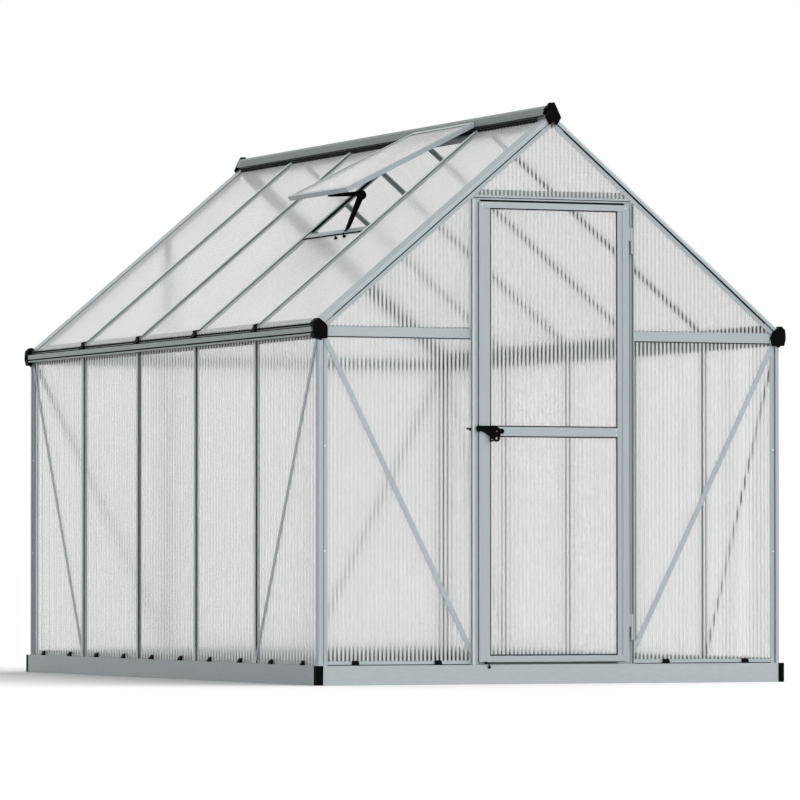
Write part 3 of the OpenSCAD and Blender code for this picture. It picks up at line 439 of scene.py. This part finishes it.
# Each finish of the model's own nodes: how it is made, the way it runs, and what wears it
FINISHES = {
    "aluminium_upright": (anodised_aluminium, "Z", [
        "front_corner_posts", "back_corner_posts", "left_glazing_bars", "right_glazing_bars",
        "door_jambs", "door_stiles", "back_wall_frame", "door_hinges", "jamb_hinges"]),
    "aluminium_lengthwise": (anodised_aluminium, "Y", ["side_bottom_rails", "vent_cross_bar"]),
    # The gutters and the ridge beam wear the aluminium darkened with painted shade.
    "aluminium_gutter_shade": (gutter_shade_aluminium, "Y", ["left_gutter", "right_gutter"]),
    "aluminium_ridge_shade": (ridge_shade_aluminium, "Y", ["ridge_beam"]),
    "aluminium_crosswise": (anodised_aluminium, "X", [
        "end_bottom_rails", "door_lintel", "front_tie_rails", "door_rails", "diagonal_braces"]),
    "aluminium_sloping": (anodised_aluminium, "SLOPE", [
        "front_rafters", "back_rafters", "left_roof_bars", "right_roof_bars", "vent_frame"]),
    "steel_crosswise": (galvanised_steel, "X", ["base_front", "base_back"]),
    "steel_lengthwise": (galvanised_steel, "Y", ["base_left", "base_right"]),
    "gable_polycarbonate": (twin_wall_polycarbonate, "GABLE", [
        "front_wall_sheets", "back_wall_sheets", "gable_sheets", "door_sheets"]),
    "side_polycarbonate": (twin_wall_polycarbonate, "SIDE", [
        "left_wall_sheets", "right_wall_sheets"]),
    "roof_polycarbonate": (twin_wall_polycarbonate, "ROOF", [
        "left_roof_sheets", "right_roof_sheets", "vent_sheet"]),
    "black_moulding": (black_polypropylene, None, [
        "base_corner_covers", "eave_corner_caps", "ridge_end_caps", "roof_bar_feet", "vent_stay",
        "door_latch", "latch_catch", "panel_clips"]),
}

# Each finish of the small pieces: how it is made, the way it runs, and its material slot
SMALL_FINISHES = {
    "aluminium_upright": (anodised_aluminium, "Z", "aluminium_profile"),
    "black_moulding": (black_polypropylene, None, "black_plastic"),
    # The black strips paint shade lines: painted shade.
    "painted_shade_strip": (painted_shade_black, None, "black_plastic"),
    "painted_highlight_trim": (painted_highlight_pvc, None, "aluminium_profile"),
    "zinc_screws": (bright_zinc, None, "aluminium_profile"),
}


def made(name, make, along):
    """The material of that name, made the first time it is asked for."""
    return bpy.data.materials.get(name) or (make(name, along) if along else make(name))


class GREENHOUSE_OT_finishes(Operator):
    """Give every part of the frame its finish"""

    bl_idname = "greenhouse.finishes"
    bl_label = "Finishes"

    def execute(self, context):
        for name, (make, along, nodes) in FINISHES.items():
            material = made(name, make, along)
            for node in nodes:
                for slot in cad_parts[node].material_slots:
                    slot.material = material
        missed = set(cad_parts) - {n for _, _, nodes in FINISHES.values() for n in nodes}
        if missed:
            raise RuntimeError("no finish for " + ", ".join(sorted(missed)))
        return {"FINISHED"}


# ------------------------------------------------------------------ tools for the small pieces

def sweep(bm, outline, start, run, u, v):
    """Adds a bar that runs from start along run; its outline is drawn on the axes u and v."""
    start, run, u, v = Vector(start), Vector(run), Vector(u), Vector(v)
    ends = [[bm.verts.new(place + u * a + v * b) for a, b in outline]
            for place in (start, start + run)]
    count = len(outline)
    for i in range(count):
        j = (i + 1) % count
        bm.faces.new((ends[0][i], ends[0][j], ends[1][j], ends[1][i]))
    bm.faces.new(list(reversed(ends[0])))
    bm.faces.new(ends[1])


def lip(a0, a1, height):
    """Outline of a thin strip from a0 to a1, with a rounded back."""
    w = a1 - a0
    return [(a0, 0.0), (a1, 0.0), (a1, 0.55 * height), (a1 - 0.15 * w, 0.9 * height),
            (a1 - 0.4 * w, height), (a0 + 0.4 * w, height), (a0 + 0.15 * w, 0.9 * height),
            (a0, 0.55 * height)]


def rib_cover(height):
    """Outline of the snap-on cover over a bar's rib of that height."""
    outer, inner, foot = 0.0050, 0.0042, 0.0012
    top = height + 0.0011
    return [(-outer, foot), (-outer, top - 0.0005), (0.0006 - outer, top), (outer - 0.0006, top),
            (outer, top - 0.0005), (outer, foot), (inner, foot), (inner, top - 0.0009),
            (-inner, top - 0.0009), (-inner, foot)]


def turned(bm, profile, centre, axis, sides=20):
    """Adds a piece turned about an axis; profile holds (radius, distance along the axis)."""
    axis = Vector(axis).normalized()
    side = axis.orthogonal().normalized()
    other = axis.cross(side)
    rings = []
    for radius, along in profile:
        middle = Vector(centre) + axis * along
        ring = []
        for i in range(sides):
            angle = 2 * math.pi * i / sides
            spoke = side * math.cos(angle) + other * math.sin(angle)
            ring.append(bm.verts.new(middle + spoke * radius))
        rings.append(ring)
    for one, two in zip(rings, rings[1:]):
        for i in range(sides):
            j = (i + 1) % sides
            bm.faces.new((one[i], one[j], two[j], two[i]))
    bm.faces.new(list(reversed(rings[0])))
    bm.faces.new(rings[-1])


def screw(bm, centre, axis, r):
    """A pan-head screw with a round socket and a head of radius r."""
    turned(bm, [(0.9 * r, 0.0), (r, 0.15 * r), (r, 0.35 * r), (0.86 * r, 0.56 * r),
                (0.6 * r, 0.68 * r), (0.42 * r, 0.7 * r), (0.36 * r, 0.4 * r)], centre, axis)


def finish_piece(bm, name, finish, body, smooth=True):
    """Turns the mesh into a piece that wears that finish and rides on a body."""
    bmesh.ops.recalc_face_normals(bm, faces=bm.faces)
    mesh = bpy.data.meshes.new(name)
    bm.to_mesh(mesh)
    bm.free()
    if smooth:
        mesh.shade_smooth()
        mesh.set_sharp_from_angle(angle=math.radians(35))
    make, along, slot = SMALL_FINISHES[finish]
    mesh.materials.append(made(finish, make, along))
    piece = bpy.data.objects.new(name, mesh)
    bpy.context.scene.collection.objects.link(piece)
    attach(piece, body)


def slope_frame(side):
    """Start, down-slope and outward axes of a roof slope; side is -1 for the left."""
    down = Vector((side * math.cos(PITCH), 0.0, -math.sin(PITCH)))
    out = Vector((side * math.sin(PITCH), 0.0, math.cos(PITCH)))
    return Vector((0.0, 0.0, APEX)), down, out


def down_slope(x):
    """How far down the slope the distance x from the middle lies."""
    return x / math.cos(PITCH)


# ------------------------------------------------------------------ eaves and ridge

def eave_seals():
    """Black strips along both gutters that paint the shade in the trough, in the groove of the
    gutter's face and behind the wall sheets' top edge: painted shade.
    """
    trough = low("left_gutter").z + 0.012             # above the skirt behind the sheets
    end = high("left_gutter").y - 0.002
    face = high("right_gutter").x
    upstand = RIB_X - PROUD
    skirt = upstand - SKIN - CHANNEL
    strips = (
        # bottom and top above the trough, the face's distance from the middle, thickness
        (0.0295, 0.0353, upstand + LIFT, 0.0055),     # under the upstand's rib
        (0.0377, 0.0446, upstand + LIFT, 0.0030),     # over that rib
        (0.0062, 0.0116, face - 0.0012, 0.0010),      # in the groove of the gutter's face
        (-0.0118, 0.0002, skirt + 0.00002, 0.0002))   # behind the wall sheets' top edge
    bm = bmesh.new()
    for side in (-1, 1):
        for z0, z1, x, thick in strips:
            start = (side * x, -end, trough)
            sweep(bm, lip(z0, z1, thick), start, AFT * 2 * end, UP, RIGHT * side)
    return bm


def ridge_shade_strips(sizes):
    """Black strips under the ridge beam's hood, on its edges and on the chamfers below its crown,
    that paint the hood's shade: painted shade.
    """
    hood = low("ridge_beam").z + 0.026                # above the web that hangs below it
    edge = 0.030                                      # half the hood's width
    crown = edge - 0.014
    crown_z = hood + 0.035
    end = high("ridge_beam").y - 0.043
    run = AFT * 2 * end
    slant = math.sqrt(0.5)
    bm = bmesh.new()
    for side in (-1, 1):
        out = RIGHT * side
        start = (side * (edge - 0.0025), -end, hood)
        sweep(bm, lip(-sizes.ridge_shade_strip, -LIFT, 0.0022), start, run, UP, out)
        start = (side * (edge + FILM), -end, hood)
        sweep(bm, lip(0.0002, 0.0074, 0.0008), start, run, UP, out)
        start = (side * (crown + FILM), -end, crown_z + FILM)
        sweep(bm, lip(0.0018, 0.0094, 0.0008), start, run, (side * slant, 0, -slant),
              (side * slant, 0, slant))
    return bm


class GREENHOUSE_OT_eave_shade_strips(Operator):
    """Lay the black strips of painted shade along the gutters and under the ridge"""

    bl_idname = "greenhouse.eave_seals"
    bl_label = "Eave and ridge seals"

    def execute(self, context):
        sizes = context.scene.greenhouse_hardware
        finish_piece(eave_seals(), "eave_seals", "painted_shade_strip", "body")
        finish_piece(ridge_shade_strips(sizes), "ridge_shade_strips", "painted_shade_strip", "body")
        return {"FINISHED"}


# ------------------------------------------------------------------ bars and rafters

RIB_EDGE = 0.0052                                 # half the width of a rib with its cover


def bar_span():
    """Foot and height of the side walls' glazing bars, clear of both ends."""
    foot = low("left_glazing_bars").z + 0.001
    return foot, high("left_glazing_bars").z - 0.001 - foot


def wall_bar_shade_strips(sizes):
    """Black strips on both sides of the rib of every glazing bar, which paint the shadow gaps beside
    it: painted shade.
    """
    foot, height = bar_span()
    bm = bmesh.new()
    for side in (-1, 1):
        for y in BAR_Y:
            for turn, width in ((-1, sizes.bar_shade_strip), (1, sizes.bar_back_shade_strip)):
                start = (side * (RIB_X - PROUD + FILM), y + turn * RIB_EDGE, foot)
                sweep(bm, lip(0, width, 0.0009), start, UP * height, AFT * turn, RIGHT * side)
    return bm


def roof_bar_shade_strips(sizes):
    """Black strip on the front side of the rib of every roof bar, which paints the shadow gap beside
    it: painted shade.
    """
    foot = down_slope(RIB_X - 0.009)
    bm = bmesh.new()
    for side in (-1, 1):
        top, down, out = slope_frame(side)
        for y in BAR_Y:
            start = top + down * BAR_TOP + out * FILM + AFT * (y - RIB_EDGE)
            sweep(bm, lip(0, sizes.bar_shade_strip, 0.0009), start, down * (foot - BAR_TOP), -AFT, out)
    return bm


def bar_rib_highlight_covers():
    """Snap-on covers over the ribs of the glazing bars and roof bars, pale to paint the highlight on
    each rib.
    """
    foot, height = bar_span()
    roof_foot = down_slope(RIB_X - 0.011)
    bm = bmesh.new()
    for side in (-1, 1):
        top, down, out = slope_frame(side)
        for y in BAR_Y:
            start = (side * (RIB_X - PROUD), y, foot)
            sweep(bm, rib_cover(PROUD), start, UP * height, AFT, RIGHT * side)
            start = top + down * BAR_TOP + AFT * y
            sweep(bm, rib_cover(ROOF_RIB), start, down * (roof_foot - BAR_TOP), AFT, out)
    return bm


def vent_opening_shade_strips():
    """Black strips round the vent's opening, one on the cross bar and one beside each roof bar:
    painted shade.
    """
    top, down, out = slope_frame(-1)
    sill = down_slope(-low("vent_cross_bar").x)
    clear = FLANGE + 0.0005
    bm = bmesh.new()
    start = top + down * (sill + 0.0006) - out * 0.0022 + AFT * (BAR_Y[0] + clear)
    sweep(bm, lip(0, 0.0075, 0.0026), start, AFT * (BAY - 2 * clear), down, out)
    edge = [(0, 0), (-0.0065, 0), (-0.0065, 0.0010), (-0.001, 0.0014), (0, 0.0008)]
    for y, turn in ((BAR_Y[0], 1), (BAR_Y[1], -1)):
        start = top + down * 0.05 + AFT * (y + turn * (FLANGE + LIFT))
        sweep(bm, edge, start, down * (sill - 0.09), out, AFT * turn)
    return bm


def rafter_shade_strips():
    """Black strips along the gable rafters, over the upper edge of the gable sheets: painted shade.
    """
    first = 0.075
    last = down_slope(RIB_X - 0.045)
    bm = bmesh.new()
    for end in (-1, 1):
        for side in (-1, 1):
            top, down, out = slope_frame(side)
            start = top + down * first - out * 0.0172 + AFT * end * (RIB_Y - 0.0045)
            sweep(bm, lip(0, 0.0046, 0.0012), start, down * (last - first), -out, AFT * end)
    return bm


class GREENHOUSE_OT_bar_shade_strips(Operator):
    """Lay the black strips of painted shade along the glazing bars, roof bars, vent and rafters, and
    the pale rib covers of painted highlight
    """

    bl_idname = "greenhouse.bar_seals"
    bl_label = "Bar seals"

    def execute(self, context):
        sizes = context.scene.greenhouse_hardware
        finish_piece(wall_bar_shade_strips(sizes), "wall_bar_shade_strips", "painted_shade_strip", "body")
        finish_piece(roof_bar_shade_strips(sizes), "roof_bar_shade_strips", "painted_shade_strip", "body")
        finish_piece(bar_rib_highlight_covers(), "bar_rib_highlight_covers", "painted_highlight_trim", "body")
        finish_piece(vent_opening_shade_strips(), "vent_opening_shade_strips", "painted_shade_strip", "body")
        finish_piece(rafter_shade_strips(), "rafter_shade_strips", "painted_shade_strip", "body")
        return {"FINISHED"}


# ------------------------------------------------------------------ gable walls

def gable_rail_shade_strips():
    """Black strips on the gables' bottom rails and under the eave-level rails: painted shade."""
    foot = high("base_front").z
    tie = low("front_tie_rails").z + 0.004            # over the lap behind the sheets
    bm = bmesh.new()
    # the rails start beside the jambs in front and beside the uprights at the back
    for end, inner in ((-1, JAMB_X + 0.0009), (1, JAMB_X + FLANGE + 0.0010)):
        for side in (-1, 1):
            run = RIGHT * side * (RIB_X - 0.0365 - inner)
            start = (side * inner, end * (RIB_Y - PROUD - FILM), foot + 0.0002)
            sweep(bm, lip(0, 0.0030, 0.0010), start, run, UP, AFT * end)
            start = (side * inner, end * (RIB_Y - SHEET_FACE + LIFT), tie - 0.0030)
            sweep(bm, lip(0, 0.0028, 0.0020), start, run, UP, AFT * end)
    return bm


class GREENHOUSE_OT_wall_shade_strips(Operator):
    """Lay the black strips of painted shade on the gable walls' rails"""

    bl_idname = "greenhouse.wall_seals"
    bl_label = "Gable seals"

    def execute(self, context):
        finish_piece(gable_rail_shade_strips(), "gable_rail_shade_strips", "painted_shade_strip", "body")
        return {"FINISHED"}


# ------------------------------------------------------------------ door

def lintel_foot():
    """Height of the lintel's underside, over the flange that stops the leaf."""
    return low("door_lintel").z + 0.0089


def door_glazing_shade_strips(sizes):
    """Black strips round the two sheets of the leaf: painted shade."""
    foot, head = low("door_stiles").z, high("door_stiles").z
    front = low("door_sheets").y - LIFT
    inner = high("door_stiles").x - STILE
    w = sizes.door_shade_strip
    bm = bmesh.new()
    for z0, z1 in ((foot + LEAF_RAIL, MID_RAIL[0]), (MID_RAIL[1], head - LEAF_RAIL)):
        for side in (-1, 1):
            start = (side * (inner - LIFT), front, z0)
            sweep(bm, lip(0, w, 0.0017), start, UP * (z1 - z0), -RIGHT * side, -AFT)
        for z, turn in ((z0, 1), (z1, -1)):
            start = (w - inner, front, z + turn * LIFT)
            sweep(bm, lip(0, w, 0.0034), start, RIGHT * 2 * (inner - w), UP * turn, -AFT)
    return bm


def door_head_shade_strip():
    """Black strip on the lintel's flange, over the leaf's top edge, which paints the shade in the
    slot there.
    """
    head = high("door_stiles").z
    half = 0.285
    bm = bmesh.new()
    start = (-half, PROUD - RIB_Y - FILM, head + 0.0002)
    sweep(bm, lip(0, lintel_foot() - head - 0.0008, 0.0016), start, RIGHT * 2 * half, UP, -AFT)
    return bm


def lintel_groove_shade_strip():
    """Black strip pressed into the groove of the lintel's face: painted shade."""
    groove = lintel_foot() + 0.005
    half = high("door_lintel").x - 0.010
    bm = bmesh.new()
    start = (-half, low("door_lintel").y + 0.0009, groove)
    sweep(bm, lip(0.0001, 0.0029, 0.0012), start, RIGHT * 2 * half, UP, -AFT)
    return bm


def beside_closing_jamb(outline):
    """A strip of that outline, measured from the outer edge of the jamb beside the latch."""
    foot = low("door_jambs").z + 0.0005
    height = high("door_jambs").z - 0.001 - foot
    bm = bmesh.new()
    sweep(bm, outline, (-JAMB_X, -RIB_Y, foot), UP * height, RIGHT, AFT)
    return bm


def closing_jamb_flap():
    """Folded flap of the closing jamb, which hooks over its outer wall."""
    return beside_closing_jamb([
        (0.0035, -0.0060), (0.0215, -0.0060), (0.0215, -0.0048), (0.0047, -0.0048),
        (0.0047, 0.0018), (0.0035, 0.0018)])


def closing_jamb_highlight_trim():
    """Pale trim on the outer wall of the closing jamb: painted highlight."""
    return beside_closing_jamb([
        (0, -0.0071), (0, -0.0082), (0.0008, -0.0088), (0.0062, -0.0088), (0.0070, -0.0082),
        (0.0070, -0.0071)])


def door_bottom_bolt():
    """Knob, stem and cranked plate of the bolt at the foot of the leaf."""
    front = low("door_stiles").y
    x = -0.258
    plate = 0.0720
    bm = bmesh.new()
    turned(bm, [(0.0042, 0.0), (0.0055, 0.0008), (0.0055, 0.0042), (0.0044, 0.0052)],
           (x, front - 0.0010, 0.0605), -AFT)
    turned(bm, [(0.0022, -0.0002), (0.0022, 0.009)], (x, front - 0.0028, 0.0640), UP)
    for left, length, width in ((-0.2750, 0.0100, 0.0085), (-0.2655, 0.0085, 0.0030)):
        sweep(bm, lip(0, width, 0.0014), (left, front - LIFT, plate), RIGHT * length, UP, -AFT)
    return bm


class GREENHOUSE_OT_door_trim(Operator):
    """Fit the door's black strips of painted shade, its trims, the pale one a painted highlight, and
    its bottom bolt
    """

    bl_idname = "greenhouse.door_trim"
    bl_label = "Door trim"

    def execute(self, context):
        sizes = context.scene.greenhouse_hardware
        finish_piece(door_glazing_shade_strips(sizes), "door_glazing_shade_strips", "painted_shade_strip", "door")
        finish_piece(door_head_shade_strip(), "door_head_shade_strip", "painted_shade_strip", "body")
        finish_piece(lintel_groove_shade_strip(), "lintel_groove_shade_strip", "painted_shade_strip", "body")
        finish_piece(closing_jamb_flap(), "closing_jamb_flap", "aluminium_upright", "body",
                     smooth=False)
        finish_piece(closing_jamb_highlight_trim(), "closing_jamb_highlight_trim", "painted_highlight_trim", "body")
        finish_piece(door_bottom_bolt(), "door_bottom_bolt", "black_moulding", "door")
        return {"FINISHED"}


# ------------------------------------------------------------------ fixings

def post_screws(sizes):
    """Two screws in each leg of every corner post."""
    inset = 0.025
    face = PROUD - LIFT
    r = sizes.screw_r
    bm = bmesh.new()
    for end in (-1, 1):
        for side in (-1, 1):
            for z in (sizes.screw_low, sizes.screw_high):
                screw(bm, (side * (RIB_X - inset), end * (RIB_Y - face), z), AFT * end, r)
                screw(bm, (side * (RIB_X - face), end * (RIB_Y - inset), z), RIGHT * side, r)
    return bm


def leaf_screws(sizes):
    """Smaller screws where the leaf's stiles meet its top and middle rails."""
    front = low("door_stiles").y + LIFT
    edge, head = high("door_stiles").x, high("door_stiles").z
    r = 0.7 * sizes.screw_r
    bm = bmesh.new()
    for side in (-1, 1):
        screw(bm, (side * (edge - 0.012), front, head - 0.01095), -AFT, r)
        for z in (MID_RAIL[0] + 0.0085, MID_RAIL[1] - 0.0085):
            screw(bm, (side * (edge - 0.050), front, z), -AFT, r)
    return bm


def bar_foot_covers():
    """Wedge-shaped covers over the feet of the roof bars' ribs."""
    width = 0.021
    wedge = [(0.0, 0.0041), (0.0, 0.0108), (-0.0060, 0.0100), (-0.0160, 0.0056), (-0.0180, 0.0041)]
    bm = bmesh.new()
    for side in (-1, 1):
        top, down, out = slope_frame(side)
        for y in BAR_Y:
            start = top + down * down_slope(RIB_X - 0.0028) + AFT * (y - width / 2)
            sweep(bm, wedge, start, AFT * width, down, out)
    return bm


def base_corner_brackets():
    """Angle brackets inside the corners of the base, long along the gables, black to paint the shade
    in the corners: painted shade.
    """
    height = 0.0505
    angle = [(0, 0), (0.100, 0), (0.100, 0.0012), (0.097, 0.003), (0.006, 0.003), (0.003, 0.006),
             (0.003, 0.077), (0.0012, 0.080), (0, 0.080)]
    foot = high("base_front").z - 0.052
    bm = bmesh.new()
    for end in (-1, 1):
        for side in (-1, 1):
            start = (side * (RIB_X - 0.0046), end * (RIB_Y - 0.0046), foot)
            sweep(bm, angle, start, UP * height, -RIGHT * side, -AFT * end)
    return bm


def vent_knobs():
    """The two knobs under the foot of the vent's stay, each on its stem."""
    axis = (0.3, 0, -1)
    bm = bmesh.new()
    for place in ((-0.502, -0.687, 1.6370), (-0.498, -0.758, 1.6405)):
        turned(bm, [(0.0035, 0.0), (0.0070, 0.0010), (0.0075, 0.0035), (0.0060, 0.0075),
                    (0.0030, 0.0085)], place, axis)
        turned(bm, [(0.0022, -0.0105), (0.0022, 0.0004)], place, axis)
    return bm


class GREENHOUSE_OT_fixings(Operator):
    """Fit the screws, the base's brackets, the covers over the roof bars' feet and the knobs"""

    bl_idname = "greenhouse.fixings"
    bl_label = "Fixings"

    def execute(self, context):
        sizes = context.scene.greenhouse_hardware
        finish_piece(post_screws(sizes), "post_screws", "zinc_screws", "body")
        finish_piece(leaf_screws(sizes), "leaf_screws", "zinc_screws", "door")
        finish_piece(bar_foot_covers(), "bar_foot_covers", "black_moulding", "body")
        finish_piece(base_corner_brackets(), "base_corner_brackets", "black_moulding", "body",
                     smooth=False)
        finish_piece(vent_knobs(), "vent_knobs", "black_moulding", "body")
        return {"FINISHED"}


# ------------------------------------------------------------------ studio

def studio_air(scene, level):
    """White to the eye, to gloss and through the sheets; a low fill for everything else."""
    world = bpy.data.worlds.new("Studio air")
    scene.world = world
    # Without light sampling, gloss sees the white surroundings in full.
    world.cycles.sampling_method = "NONE"
    world.use_nodes = True
    tree = world.node_tree
    tree.nodes.clear()
    rays = add(tree, "ShaderNodeLightPath")
    seen = add(tree, "ShaderNodeMath", {
        0: rays.outputs["Is Camera Ray"], 1: rays.outputs["Is Glossy Ray"]}, operation="MAXIMUM")
    seen = add(tree, "ShaderNodeMath", {
        0: seen.outputs[0], 1: rays.outputs["Is Transmission Ray"]}, operation="MAXIMUM")
    white = add(tree, "ShaderNodeBackground", Color=WHITE, Strength=1.0)
    fill = add(tree, "ShaderNodeBackground", Color=WHITE, Strength=level)
    mix = add(tree, "ShaderNodeMixShader", {
        0: seen.outputs[0], 1: fill.outputs[0], 2: white.outputs[0]})
    add(tree, "ShaderNodeOutputWorld", {"Surface": mix.outputs[0]})


def floor_paint():
    """White to the eye, where it holds the shadow; dark to the light that bounces off it, so
    that it doesn't brighten the house from below."""
    material, tree = new_material("Floor paint")
    rays = add(tree, "ShaderNodeLightPath")
    seen = add(tree, "ShaderNodeMath", {
        0: rays.outputs["Is Camera Ray"], 1: rays.outputs["Is Glossy Ray"]}, operation="MAXIMUM")
    pale = add(tree, "ShaderNodeBsdfDiffuse", Color=WHITE)
    glow = add(tree, "ShaderNodeEmission", Strength=0.02)
    lit = add(tree, "ShaderNodeAddShader", {0: pale.outputs[0], 1: glow.outputs[0]})
    white = add(tree, "ShaderNodeEmission", Strength=1.0)
    dim = add(tree, "ShaderNodeBsdfDiffuse", Color=(0.15, 0.15, 0.15, 1.0))
    unseen = add(tree, "ShaderNodeMixShader", {
        0: rays.outputs["Is Transmission Ray"], 1: dim.outputs[0], 2: white.outputs[0]})
    mix = add(tree, "ShaderNodeMixShader", {
        0: seen.outputs[0], 1: unseen.outputs[0], 2: lit.outputs[0]})
    add(tree, "ShaderNodeOutputMaterial", {"Surface": mix.outputs[0]})
    return material


def studio_floor(scene):
    """One wide plane, just under the house."""
    half = 400.0
    mesh = bpy.data.meshes.new("Studio floor")
    corners = [(-half, -half, 0), (half, -half, 0), (half, half, 0), (-half, half, 0)]
    mesh.from_pydata(corners, [], [(0, 1, 2, 3)])
    mesh.materials.append(floor_paint())
    floor = bpy.data.objects.new("Studio floor", mesh)
    scene.collection.objects.link(floor)
    floor.location.z = -0.0005


def studio_lights(scene, settings):
    """Four soft lights. The one from behind would glare on the profiles, so gloss skips it."""
    for name, level, spread, toward in (
            ("Right light", settings.key, 80, (0.65, -0.25, 0.7)),
            ("Front light", settings.front, 40, (-0.12, -0.97, 0.15)),
            ("Left light", settings.left, 40, (-0.93, -0.36, 0.05)),
            ("Back light", settings.back, 40, (0.1, 0.97, 0.2))):
        lamp = bpy.data.lights.new(name, "SUN")
        lamp.energy = level * math.pi
        lamp.angle = math.radians(spread)
        sun = bpy.data.objects.new(name, lamp)
        scene.collection.objects.link(sun)
        sun.rotation_euler = (-Vector(toward)).to_track_quat("-Z", "Y").to_euler()
        sun.visible_transmission = False
        sun.visible_glossy = name != "Back light"


def studio_camera(scene, settings):
    """A long lens far off, a little above the ground."""
    camera = bpy.data.cameras.new("Camera")
    camera.sensor_width = 36.0
    camera.lens = settings.lens
    camera.clip_end = 2000.0
    eye = bpy.data.objects.new("Camera", camera)
    scene.collection.objects.link(eye)
    eye.location = settings.camera
    eye.rotation_euler = (math.pi / 2 + settings.tilt, 0.0, settings.heading)
    scene.camera = eye


class GREENHOUSE_OT_studio(Operator):
    """Build the floor, the lights and the camera"""

    bl_idname = "greenhouse.studio"
    bl_label = "Studio"

    def execute(self, context):
        scene = context.scene
        settings = scene.greenhouse_studio
        scene.view_settings.view_transform = "Standard"
        studio_air(scene, settings.fill)
        studio_floor(scene)
        studio_lights(scene, settings)
        studio_camera(scene, settings)
        return {"FINISHED"}


# ------------------------------------------------------------------ panel and main

class GREENHOUSE_PT_panel(Panel):
    """Lists the steps and their settings in the sidebar"""

    bl_label = "Greenhouse"
    bl_idname = "GREENHOUSE_PT_panel"
    bl_space_type = "VIEW_3D"
    bl_region_type = "UI"
    bl_category = "Greenhouse"

    def draw(self, context):
        for step in STEPS:
            self.layout.operator("greenhouse." + step)
        scene = context.scene
        for group in (scene.greenhouse_finish, scene.greenhouse_hardware, scene.greenhouse_studio):
            box = self.layout.box()
            for key in group.__annotations__:
                box.prop(group, key)


STEPS = ["finishes", "eave_seals", "bar_seals", "wall_seals", "door_trim", "fixings", "studio"]
CLASSES = [
    FinishSettings, HardwareSettings, StudioSettings, GREENHOUSE_OT_finishes,
    GREENHOUSE_OT_eave_shade_strips, GREENHOUSE_OT_bar_shade_strips, GREENHOUSE_OT_wall_shade_strips,
    GREENHOUSE_OT_door_trim, GREENHOUSE_OT_fixings, GREENHOUSE_OT_studio, GREENHOUSE_PT_panel]


def register():
    """Registers the classes and hangs the settings on the scene."""
    for cls in CLASSES:
        bpy.utils.register_class(cls)
    bpy.types.Scene.greenhouse_finish = PointerProperty(type=FinishSettings)
    bpy.types.Scene.greenhouse_hardware = PointerProperty(type=HardwareSettings)
    bpy.types.Scene.greenhouse_studio = PointerProperty(type=StudioSettings)


def unregister():
    """Takes the settings and the classes away again."""
    del bpy.types.Scene.greenhouse_studio
    del bpy.types.Scene.greenhouse_hardware
    del bpy.types.Scene.greenhouse_finish
    for cls in reversed(CLASSES):
        bpy.utils.unregister_class(cls)


def main():
    """Runs every step in order."""
    register()
    for step in STEPS:
        getattr(bpy.ops.greenhouse, step)()


if __name__ == "__main__":
    main()
